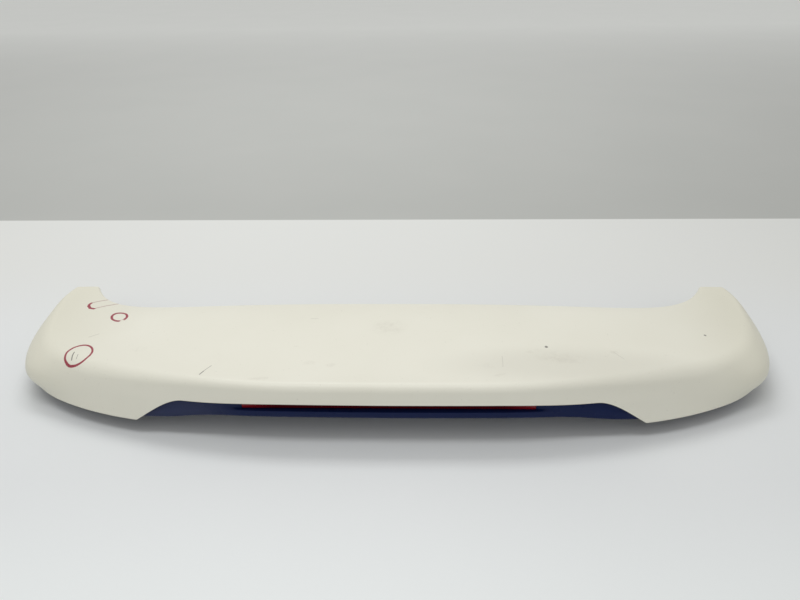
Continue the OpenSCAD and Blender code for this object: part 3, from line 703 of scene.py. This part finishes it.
seat_h, seat_lift, pad_drop, bite = 22, 4.2, 2.5, 1
gasket_t, rim_t, housing_d, ear_reach = 1.5, 2, 24, 12
studs = shared((0.25, 0.592), (0.55, 0.562), (0.865, 0.688))
clips = shared((0.655, 0.198))
screws = shared((0.18, 0.42), (0.47, 0.39), (0.765, 0.5))
locators = shared((0.41, 0.45))
drains = shared((0.1, 0.18), (0.5, 0.18))
harness = (0.07 * half_w, 0.45 * overall_d)

ear_inset, ear_shares = 10, (-1, -1 / 3, 1 / 3, 1)
rim_y = recess_y + panel_t + gasket_t + hole_gap
lens_z = ledge_h + ledge_gap + lens_h / 2
ear_y, ear_z = rim_y + rim_t + housing_d + ear_reach / 2, lens_z - lens_h / 2 - lens_rim
ears = [(share * (lens_len / 2 - ear_inset), ear_y) for share in ear_shares]


def pad_top(p):
    """Top of a pad inside the panel: the floor, its wall and the lift of the seat."""
    return floor_z(*p) + panel_t + seat_lift


print("stud seats end at", [round(pad_top(p), 1) for p in studs[1::2]])

# %% The panel's posts and gussets
stud_d, clip_d, screw_d, ear_d, harness_d = 26, 21, 14, 8.4, 30
ear_soft, pin_r, pin_z = 0.3, 4.5, 6
gusset_reach, gusset_half = 19.5, 1

posts = [drum(*p, stud_d, seat_h, pad_top(p)) for p in studs]
posts += [drum(*p, clip_d, seat_h, pad_top(p)) for p in clips]
posts += [drum(*p, screw_d, floor_z(*p) - pad_drop, pad_top(p)) for p in screws]
posts += [turned(*p, [(pin_r / 2, pin_z), (pin_r, pin_z + pin_r), (pin_r, floor_z(*p) + bite)])
          for p in locators]
posts += [drum(*p, ear_d, floor_z(*p) + bite, ear_z, ear_soft) for p in ears]
posts += [drum(*harness, harness_d, floor_z(*harness) - pad_drop, pad_top(harness))]
carve(panel, "UNION", posts)


def gusset(p, reach):
    """Web through a stud's seat: a box from halfway up the seat to just inside the floor."""
    middle_z = (seat_h + floor_z(*p)) / 2
    return block([*np.subtract(p, reach), middle_z], [*np.add(p, reach), floor_z(*p) + bite])


for reach in ([gusset_reach, gusset_half], [gusset_half, gusset_reach]):
    carve(panel, "UNION", [gusset(p, reach) for p in studs])
print("posts:", len(posts), "gussets:", 2 * len(studs))

# %% The skin's screw bosses
boss_r, bore_r, bore_deep, boss_sink = 4.5, 2.1, 13, 1.4


def skin_boss(p):
    """Boss that hangs from the skin down to a pad, with a blind bore from below."""
    low = pad_top(p) + hole_gap
    high = float(top_z(*under(*p))[0, 0]) - wall + boss_sink
    return turned(*p, [(bore_r, low + bore_deep), (bore_r, low), (boss_r, low), (boss_r, high)])


carve(skin, "UNION", [skin_boss(p) for p in screws], sharp=40)
print("skin:", len(skin.data.vertices), "points")

# %% The panel's holes and the lamp's slot
hole_sizes = (studs, 8.2), (clips, 5.2), (screws, 4.2), (drains, 5), ([harness], 22)
ear_bore_r, ear_bore_deep = 1.85, 5.2

holes = [(p, d) for places, d in hole_sizes for p in places]
cuts = [turned(*p, [(d / 2, 0), (d / 2, break_h)]) for p, d in holes]
cuts += [turned(*p, [(ear_bore_r, ear_z - ear_bore_deep), (ear_bore_r, ear_z + bite)])
         for p in ears]
slot_low = [-lens_len / 2 - fit_gap, recess_y - panel_t, ledge_h + ledge_gap - fit_gap]
slot_size = [lens_len + 2 * fit_gap, 3 * panel_t, lens_h + 2 * fit_gap]
cuts.append(block(slot_low, np.add(slot_low, slot_size)))
carve(panel, "DIFFERENCE", cuts)
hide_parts("lower_panel")
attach(panel, "root")
print("panel:", len(panel.data.vertices), "points,", len(cuts), "holes")

# %% [markdown]
# ## Lens
#
# The lens is a shallow tray: a window that fills the slot, and a rim behind the wall. Its section
# is the same all round, so it is a row of rounded rectangles, one behind the other, closed by one
# face in front and one at the bottom of the tray.


# %% Lens of the stop lamp
def frame_ring(y, half_x, half_z, r, steps=6):
    """Rounded rectangle in an upright plane: the corner's centre plus r times cosine and sine."""
    a = np.radians(np.linspace(0, 90, steps)[None, :] + np.array([0, 90, 180, 270])[:, None])
    side_x, side_z = np.array([[1], [-1], [-1], [1]]), np.array([[1], [1], [-1], [-1]])
    x = side_x * (half_x - r) + r * np.cos(a)
    z = side_z * (half_z - r) + r * np.sin(a)
    return np.stack([x.ravel(), np.full(x.size, y), lens_z + z.ravel()], -1)


window_r, back_r, tray_r, lens_wall, lens_soft = 1.4, 2.5, 1, 2, 1
hx, hz = lens_len / 2, lens_h / 2
rings = []
for t in np.radians([0, 30, 60, 90]):
    back, inset = lens_soft * (1 - math.cos(t)), lens_soft * (1 - math.sin(t))
    rings.append(frame_ring(lens_front + back, hx - inset, hz - inset, window_r))
rings += [frame_ring(rim_y, hx, hz, window_r),
          frame_ring(rim_y, hx + lens_rim, hz + lens_rim, back_r),
          frame_ring(rim_y + rim_t, hx + lens_rim, hz + lens_rim, back_r),
          frame_ring(rim_y + rim_t, hx - lens_wall, hz - lens_wall, tray_r),
          frame_ring(lens_front + lens_wall, hx - lens_wall, hz - lens_wall, tray_r)]
count = len(rings[0])
sides = tube_faces(len(rings), count)[:, [1, 0, 3, 2]].tolist()
last = (len(rings) - 1) * count
ends = [list(range(count)), list(range(last + count - 1, last - 1, -1))]
lens = make_mesh("lamp_window", np.concatenate(rings), sides + ends)
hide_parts("lamp_lens")
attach(lens, "root")
print("lens:", len(lens.data.vertices), "points")

# %% [markdown]
# ## Camera, light and bench
#
# The camera looks down at the rear edge. Its place, pitch and focal length were solved from the
# object's own outline in the photograph.
#
# The shadow has two soft edges, so there are two long lamps overhead, one above the part and one
# beyond it, as the camera sees them. A pale sky fills the rest. Its strength falls with the square
# of the sideways direction and a little from the rear to the front, which sets the tone of the
# part's sides.

# %% Camera
scene = bpy.context.scene
camera_data = bpy.data.cameras.new("camera")
camera_data.lens = 27.5
camera_data.sensor_width = 36.0
camera = bpy.data.objects.new("camera", camera_data)
camera.location = (0.0394, -0.7945, 0.5954)
camera.rotation_euler = (math.radians(59.6), math.radians(0.76), math.radians(1.41))
scene.collection.objects.link(camera)
scene.camera = camera
print("camera at", tuple(round(c, 3) for c in camera.location))

# %% Light
lamp_len, lamp_x, lamp_z = 2.0, -0.4, 2.4


def ceiling_lamp(name, y, depth, watts):
    """A long lamp overhead that shines straight down."""
    lamp = bpy.data.lights.new(name, "AREA")
    lamp.shape = "RECTANGLE"
    lamp.size = lamp_len
    lamp.size_y = depth
    lamp.energy = watts
    holder = bpy.data.objects.new(name, lamp)
    holder.location = (lamp_x, y, lamp_z)
    scene.collection.objects.link(holder)


ceiling_lamp("lamp_above", -0.15, 0.5, 14)
ceiling_lamp("lamp_behind", 1.35, 0.7, 24)

world = bpy.data.worlds.new("pale_room")
world.use_nodes = True
scene.world = world
sky = world.node_tree.nodes["Background"]
sky.inputs["Color"].default_value = (1.0, 0.99, 0.965, 1)
way = world.node_tree.nodes.new("ShaderNodeTexCoord")
parts = world.node_tree.nodes.new("ShaderNodeSeparateXYZ")
world.node_tree.links.new(way.outputs["Generated"], parts.inputs[0])


def times_plus(a, b, c):
    """World node for a times b plus c, from sockets or plain numbers."""
    node = world.node_tree.nodes.new("ShaderNodeMath")
    node.operation = "MULTIPLY_ADD"
    for socket, value in zip(node.inputs, (a, b, c)):
        if isinstance(value, bpy.types.NodeSocket):
            world.node_tree.links.new(value, socket)
        else:
            socket.default_value = value
    return node.outputs[0]


sky_level, side_drop, rear_drop = 0.57, -0.16, -0.06
squared = times_plus(parts.outputs["X"], parts.outputs["X"], 0.0)
level = times_plus(squared, side_drop, sky_level)
level = times_plus(parts.outputs["Y"], rear_drop, level)
world.node_tree.links.new(level, sky.inputs["Strength"])
scene.view_settings.view_transform = "Standard"
print("lamps:", [light.name for light in bpy.data.lights])

# %% [markdown]
# ## A short way to write materials
#
# A material is a tree of nodes. Written out in full, each node takes five lines, so a small class
# adds a node and returns its socket. Patterns read Object coordinates, which lie in the frame of
# the part and so are the same as the drawing's own, in metres.


# %% The class for a finish
class Finish:
    """A material and its nodes. Each call adds a node and returns the socket that it gives."""

    def __init__(self, name, **values):
        self.material = bpy.data.materials.new(name)
        self.material.use_nodes = True
        self.tree = self.material.node_tree
        self.shader = self.tree.nodes["Principled BSDF"]
        self.place = self.add("TexCoord", "Object")
        self.set(**values)

    def feed(self, socket, value):
        """A socket takes a link from another socket, or a plain value."""
        if isinstance(value, bpy.types.NodeSocket):
            self.tree.links.new(value, socket)
        else:
            socket.default_value = value

    def set(self, **values):
        """Shader inputs by name, with _ for the blanks."""
        for name, value in values.items():
            self.feed(self.shader.inputs[name.replace("_", " ")], value)

    def add(self, kind, output, inputs=None, **settings):
        """A node of that kind. inputs maps socket numbers or names to values."""
        node = self.tree.nodes.new("ShaderNode" + kind)
        for name, value in settings.items():
            setattr(node, name, value)
        for name, value in (inputs or {}).items():
            self.feed(node.inputs[name], value)
        return node.outputs[output]

    def noise(self, scale, detail=2, place=None, rough=0.5, output="Fac"):
        """Cloudy noise between 0 and 1, with that many lumps per metre."""
        inputs = {"Vector": place or self.place, "Scale": scale, "Detail": detail,
                  "Roughness": rough}
        return self.add("TexNoise", output, inputs)

    def shaped(self, centre, size, turn=0.0, place=None):
        """Coordinates centred on a point, turned about Z by turn degrees and divided by size."""
        inputs = {"Vector": place or self.place, "Location": centre, "Scale": size,
                  "Rotation": (0, 0, math.radians(turn))}
        return self.add("Mapping", "Vector", inputs, vector_type="TEXTURE")

    def sums(self, operation, a, b=0.0):
        """One arithmetic step."""
        return self.add("Math", "Value", {0: a, 1: b}, operation=operation)

    def vectors(self, operation, a, b=(0, 0, 0)):
        """One step of vector arithmetic."""
        output = "Value" if operation == "LENGTH" else "Vector"
        return self.add("VectorMath", output, {0: a, 1: b}, operation=operation)

    def most(self, masks):
        """The largest of several masks."""
        total = masks[0]
        for mask in masks[1:]:
            total = self.sums("MAXIMUM", total, mask)
        return total

    def step(self, value, low, high, to=1.0):
        """Smooth step from 0 at low to its full value at high, or down from it if low is higher."""
        ends = {"From Min": min(low, high), "From Max": max(low, high),
                "To Min": to * (low > high), "To Max": to * (low < high), "Value": value}
        return self.add("MapRange", "Result", ends, interpolation_type="SMOOTHSTEP")

    def range(self, value, low, high):
        """A share from 0 to 1 spread over the range from low to high."""
        return self.add("MapRange", "Result", {"Value": value, "To Min": low, "To Max": high})

    def blend(self, share, a, b):
        """Colour mix: a where share is 0 and b where it is 1."""
        node = self.tree.nodes.new("ShaderNodeMix")
        node.data_type = "RGBA"
        for socket, value in ((node.inputs[0], share), (node.inputs[6], a), (node.inputs[7], b)):
            self.feed(socket, value)
        return node.outputs[2]

    def bump(self, *layers):
        """Bump from one or more height fields, each with its depth in metres."""
        normal = None
        for height, depth in layers:
            inputs = {"Height": height, "Distance": depth, "Strength": 1.0}
            if normal is not None:
                inputs["Normal"] = normal
            normal = self.add("Bump", "Normal", inputs)
        self.set(Normal=normal)

    def on(self, *pieces):
        """Puts the material on pieces, in place of what they had."""
        for piece in pieces:
            piece.data.materials.clear()
            piece.data.materials.append(self.material)
        print(self.material.name, "on", ", ".join(piece.name for piece in pieces))


print("a finish can:", ", ".join(name for name in vars(Finish) if name[0] != "_"))

# %% [markdown]
# ## The bench
#
# The bench is one large pale plane. Towards the front it is painted lighter, as painted light, and
# towards the back a little greyer. Beyond wall_y it is greyer still, and further away it glows a
# little where the camera or a reflection sees it, so that the distance looks bright without
# lighting the object.

# %% The bench
bench_size, wall_y, wall_edge = 48.0, 0.612, 0.004
bench_mesh = bpy.data.meshes.new("bench")
far = bench_size / 2
corners = [(x * far, y * far, 0) for x, y in ((-1, -1), (1, -1), (1, 1), (-1, 1))]
bench_mesh.from_pydata(corners, [], [(0, 1, 2, 3)])
bench = bpy.data.objects.new("bench", bench_mesh)
scene.collection.objects.link(bench)

card = Finish("bench_white", Roughness=0.5)
clouds = card.noise(3.0, 3)
apart = card.add("SeparateXYZ", "Y", {0: card.place})
top = card.blend(clouds, (0.733, 0.758, 0.768, 1), (0.767, 0.788, 0.8, 1))
# The bench is painted lighter towards the front, as painted light, and a little greyer towards the
# back.
top = card.blend(card.step(apart, -0.22, -0.46), top, (0.83, 0.865, 0.87, 1))
top = card.blend(card.step(apart, 0.0, 0.4), top, (0.735, 0.748, 0.73, 1))
beyond = card.blend(clouds, (0.435, 0.449, 0.431, 1), (0.471, 0.48, 0.462, 1))
card.set(Base_Color=card.blend(card.step(apart, wall_y, wall_y + wall_edge), top, beyond))

distance = {"Value": apart, "From Min": 0.7, "From Max": 4.5, "To Max": 0.27}
glow = card.add("MapRange", "Result", distance)
rays = [card.add("LightPath", ray) for ray in ("Is Camera Ray", "Is Glossy Ray")]
card.set(Emission_Color=(0.98, 1, 0.98, 1))
card.set(Emission_Strength=card.sums("MULTIPLY", glow, card.most(rays)))
card.bump((card.noise(160.0, 3), 0.0001))
card.on(bench)

# %% [markdown]
# ## Ivory paint
#
# The skin is sprayed plastic: a cream base under clear lacquer. Lacquer is never quite flat, so a
# fine orange peel goes into the bump. Years outside have dulled and yellowed it unevenly, it has
# smudges, specks and scratches, and somebody has ringed the faults with a red grease pencil. Its
# ends are painted darker and yellower: partly real yellowing, partly painted shade on the sides. A
# broad patch on the right of the rear top is painted darker, as painted shade. The back of the
# moulding is bare dark plastic with some overspray, so an attribute says for each point how far it
# lies on the painted side. Each mark is a mask worked out from its distance on a plan view, in
# millimetres: an ellipse for a spot or a ring, and a capsule for a stroke.


# %% Masks for marks, on a plan view in millimetres
def spot(paint, centre, size, turn=0, edge=0.3):
    """Ellipse that fades from its middle to its rim: the radius in stretched coordinates."""
    away = paint.vectors("LENGTH", paint.shaped((*centre, 0), (*size, 1), turn, paint.plan))
    return paint.step(away, 1, edge)


def ring(paint, centre, size, turn, width):
    """Drawn ring: the radius less 1, times the mean half axis, is about the distance from it."""
    away = paint.vectors("LENGTH", paint.shaped((*centre, 0), (*size, 1), turn, paint.hand))
    off = paint.sums("ABSOLUTE", paint.sums("SUBTRACT", away, 1))
    return paint.step(off, *(np.array([width + 1, width - 1]) / sum(size)))


def stroke(paint, a, b, width, soft=0.4):
    """Straight stroke with round ends. Along it, only the length beyond its half counts; across
    it, the plain distance."""
    (ax, ay), (bx, by) = a, b
    middle, half = ((ax + bx) / 2, (ay + by) / 2, 0), math.dist(a, b) / 2
    line = paint.shaped(middle, (1, 1, 1), math.degrees(math.atan2(by - ay, bx - ax)), paint.hand)
    across = paint.add("SeparateXYZ", "Y", {0: line})
    along = paint.sums("ABSOLUTE", paint.add("SeparateXYZ", "X", {0: line}))
    beyond = paint.sums("MAXIMUM", paint.sums("SUBTRACT", along, half), 0)
    away = paint.vectors("LENGTH", paint.add("CombineXYZ", "Vector", {0: beyond, 1: across}))
    return paint.step(away, width / 2 + soft, width / 2 - soft)


def strokes(paint, points, width):
    """A row of strokes from point to point."""
    return paint.most([stroke(paint, a, b, width) for a, b in zip(points, points[1:])])


print("masks:", ", ".join(mask.__name__ for mask in (spot, ring, stroke, strokes)))

# %% Ivory paint: colour of the lacquer
ivory = Finish("ivory_paint", Coat_Weight=0.2, Coat_Roughness=0.24)
x, y = (ivory.sums("MULTIPLY", ivory.add("SeparateXYZ", axis, {0: ivory.place}), 1000)
        for axis in "XY")
ivory.plan = ivory.add("CombineXYZ", "Vector", {0: x, 1: y})
wobble = ivory.vectors("SUBTRACT", ivory.noise(45.0, 1, output="Color"), (0.5, 0.5, 0.5))
ivory.hand = ivory.vectors("ADD", ivory.plan, ivory.vectors("MULTIPLY", wobble, (3, 3, 0)))

haze = ivory.noise(7.0, 4)
cream = ivory.blend(haze, (0.765, 0.753, 0.65, 1), (0.825, 0.817, 0.725, 1))
# Towards the ends the cream is painted darker and yellower: partly yellowing, partly painted shade.
aged_and_shaded_ends = ivory.step(ivory.sums("ABSOLUTE", x), 380, 590, 0.8)
cream = ivory.blend(aged_and_shaded_ends, cream, (0.722, 0.708, 0.59, 1))
# A broad patch on the right of the rear top is painted darker: painted shade, not a mark.
painted_shade_right = ivory.sums("MULTIPLY", spot(ivory, (260, -105), (240, 52)), 0.2)
cream = ivory.blend(painted_shade_right, cream, (0.46, 0.445, 0.38, 1))

grime = [((-4, -17), (34, 26), 10), ((-112, -103), (12, 7), 0), ((-81, -107), (10, 6), 20),
         ((-369, -64), (14, 9), 0), ((207, -73), (16, 6), 15), ((138, -107), (12, 8), 0),
         ((321, -71), (8, 6), 0), ((-173, -137), (28, 4), 4), ((245, -88), (50, 18), -8),
         ((150, -128), (16, 4), 22)]
smudge = ivory.most([spot(ivory, *row) for row in grime])
broken = ivory.sums("MULTIPLY", smudge, ivory.step(ivory.noise(70.0, 5, rough=0.65), 0.35, 0.7))
cream = ivory.blend(ivory.sums("MULTIPLY", broken, 0.2), cream, (0.46, 0.43, 0.36, 1))
dust = ivory.step(ivory.noise(240.0, 3), 0.68, 0.74, 0.16)
cream = ivory.blend(dust, cream, (0.42, 0.40, 0.34, 1))
print("smudges:", len(grime))

# %% Ivory paint: scratches and specks
nicks = [((-468, -66), (-464, -83), 1.6), ((-459, -72), (-457, -82), 0.7),
         ((-260, -128), (-256, -120), 1.4), ((-256, -120), (-249, -108), 0.7)]
rubs = [((-465, -25), (-452, -18), 1.6, 1.2), ((-126, 8), (-115, 9), 1, 0.7),
        ((160, -86), (158, -109), 0.8, 0.6), ((321, -71), (331, -86), 0.8, 0.6)]
specks = [((226, -63), (3, 3)), ((474, -15), (2.6, 2.6))]
cut = ivory.most([stroke(ivory, *row) for row in nicks])
rub = ivory.most([stroke(ivory, *row) for row in rubs])
speck = ivory.most([spot(ivory, *row, 0, 0.5) for row in specks])
chip = ivory.most([cut, speck])
cream = ivory.blend(ivory.sums("MULTIPLY", rub, 0.4), cream, (0.36, 0.34, 0.29, 1))
cream = ivory.blend(ivory.sums("MULTIPLY", chip, 0.8), cream, (0.10, 0.095, 0.085, 1))
print("nicks, rubs and specks:", len(nicks), len(rubs), len(specks))

# %% Ivory paint: grease pencil
whole = ring(ivory, (-459, -70), (23.5, 19), -64, 3.4)
small = ring(ivory, (-442, 32), (17, 11), -50, 4.4)
gap = ivory.sums("SUBTRACT", 1, spot(ivory, (-431, 18), (5, 5)))
hook = strokes(ivory, [(-519, 93), (-520, 88), (-518, 81), (-511, 73), (-502, 69)], 4.8)
arms = ivory.most([strokes(ivory, [(-519, 93), (-507, 102), (-495, 109)], 3.2),
                   strokes(ivory, [(-502, 69), (-486, 80), (-471, 89)], 3.2)])
wax = ivory.range(ivory.step(ivory.noise(700.0, 2), 0.3, 0.6), 0.85, 1.0)
red = ivory.most([whole, ivory.sums("MULTIPLY", small, gap), hook])
cream = ivory.blend(ivory.sums("MULTIPLY", arms, 0.7), cream, (0.42, 0.27, 0.26, 1))
cream = ivory.blend(ivory.sums("MULTIPLY", red, wax), cream, (0.30, 0.006, 0.035, 1))
print("nodes in the paint so far:", len(ivory.tree.nodes))

# %% Ivory paint: bare back and surface
painted = ivory.add("Attribute", "Fac", attribute_name="painted")
spray = ivory.step(ivory.noise(60.0, 5, rough=0.75), 0.5, 0.75, 0.5)
bare = ivory.blend(spray, (0.045, 0.045, 0.045, 1), (0.42, 0.41, 0.36, 1))
ivory.set(Base_Color=ivory.blend(painted, bare, cream))
dull = ivory.most([ivory.sums("MULTIPLY", smudge, 0.5), haze])
ivory.set(Roughness=ivory.range(dull, 0.42, 0.56))
hair = ivory.step(ivory.noise(1.0, 2, ivory.shaped((0, 0, 0), (0.08, 0.0012, 0.02), 24)), 0.6, 0.75)
ivory.bump((ivory.noise(420.0, 2), 0.00003), (ivory.sums("SUBTRACT", 0, chip), 0.0002),
           (ivory.sums("SUBTRACT", 0, hair), 0.00001))
ivory.on(skin)

# %% [markdown]
# ## Dark paint and lens
#
# The panel's paint is a deep blue that is almost black out of the light. It is smoother than the
# skin's paint, and its left end is painted lighter: a painted reflection. The lens is red through
# and through. The moulding ribs on its inner side show as fine upright lines, so a wave goes into
# the bump, and its ends are painted a little brighter than its middle, as painted light.

# %% Dark paint
navy = Finish("dark_paint", Coat_Weight=0.1, Coat_Roughness=0.05, Specular_IOR_Level=0.08)
haze = navy.noise(24.0, 4)
depth = navy.blend(haze, (0.004, 0.0105, 0.054, 1), (0.0065, 0.015, 0.070, 1))
dust = navy.step(navy.noise(330.0, 4, rough=0.7), 0.58, 0.74, 0.12)
# The left end is painted lighter: a painted reflection, not dust.
painted_reflection_left = navy.step(navy.add("SeparateXYZ", "X", {0: navy.place}), -0.19, -0.27, 0.16)
depth = navy.blend(painted_reflection_left, depth, (0.14, 0.15, 0.2, 1))
navy.set(Base_Color=navy.blend(dust, depth, (0.14, 0.14, 0.15, 1)))
navy.set(Roughness=navy.range(haze, 0.22, 0.36))
navy.bump((navy.noise(380.0, 2), 0.00002))
navy.on(panel)

# %% Lens
ruby = Finish("red_lens", Roughness=0.15, Coat_Weight=0.15, Coat_Roughness=0.03, IOR=1.4)
across = ruby.sums("ABSOLUTE", ruby.add("SeparateXYZ", "X", {0: ruby.place}))
# The lens is painted brighter towards its ends: painted light shining through it.
ends = ruby.step(across, 0.15, 0.2)
rib = ruby.add("TexWave", "Fac", {"Vector": ruby.place, "Scale": 80.0, "Distortion": 0.0},
               bands_direction="X", wave_profile="SIN")
deep = ruby.blend(ends, (0.07, 0.001, 0.006, 1), (0.20, 0.004, 0.01, 1))
ruby.set(Base_Color=ruby.blend(ruby.sums("MULTIPLY", rib, 0.12), deep, (0.3, 0.008, 0.014, 1)))
ruby.bump((rib, 0.00005), (ruby.noise(150.0, 2), 0.00003))
ruby.on(lens)

# %% [markdown]
# ## Finishes of the small pieces
#
# Foam is dull and full of pores. Rubber has a bloom, moulded plastic a fine grain, and rolled or
# plated steel is cloudy with fine marks from tumbling. One function serves them all: two tones
# mixed by a noise, a roughness that follows it, and a finer noise for the surface.


# %% One function for the small pieces
def cloudy(name, dark, light, lumps, rough, grain, depth, metal=0.0):
    """Two tones mixed by noise with lumps per metre, a pair of roughnesses that follows the same
    noise, a bump of that grain and depth, and 1 for metal."""
    finish = Finish(name, Metallic=metal)
    clouds = finish.step(finish.noise(lumps, 4), 0.3, 0.7)
    finish.set(Base_Color=finish.blend(clouds, (*dark, 1), (*light, 1)))
    finish.set(Roughness=finish.range(clouds, *rough))
    finish.bump((finish.noise(grain, 3, rough=0.65), depth))
    return finish


small_finishes = [
    ("foam", (0.025, 0.025, 0.028), (0.055, 0.055, 0.06), 900, (0.9, 1.0), 1400, 0.0005),
    ("rubber", (0.012, 0.012, 0.012), (0.03, 0.03, 0.032), 60, (0.5, 0.7), 900, 0.00006),
    ("black_plastic", (0.014, 0.014, 0.015), (0.026, 0.026, 0.027), 80, (0.38, 0.5), 1600, 0.00005),
    ("bright_plating", (0.72, 0.73, 0.74), (0.86, 0.86, 0.87), 90, (0.08, 0.18), 500, 0.00001, 1.0),
    ("board", (0.012, 0.075, 0.03), (0.03, 0.15, 0.06), 260, (0.3, 0.5), 700, 0.00004),
    ("led_resin", (0.75, 0.62, 0.5), (0.9, 0.84, 0.76), 400, (0.15, 0.3), 900, 0.00002),
    ("natural_plastic", (0.62, 0.59, 0.49), (0.75, 0.73, 0.65), 120, (0.4, 0.55), 1300, 0.00004),
    ("steel", (0.33, 0.33, 0.34), (0.58, 0.58, 0.58), 300, (0.25, 0.45), 1800, 0.00004, 1.0),
    ("zinc_steel", (0.44, 0.33, 0.15), (0.66, 0.60, 0.42), 260, (0.25, 0.42), 1500, 0.00004, 1.0),
]
slots = {row["node"]: row["material_slot"] for row in frame["record"]["subparts"]}
replaced = {"upper_skin", "lower_panel", "lamp_lens"}
for slot, *looks in small_finishes:
    finish = cloudy(slot, *looks)
    finish.on(*[node for name, node in frame["nodes"].items()
                if slots[name] == slot and name not in replaced])
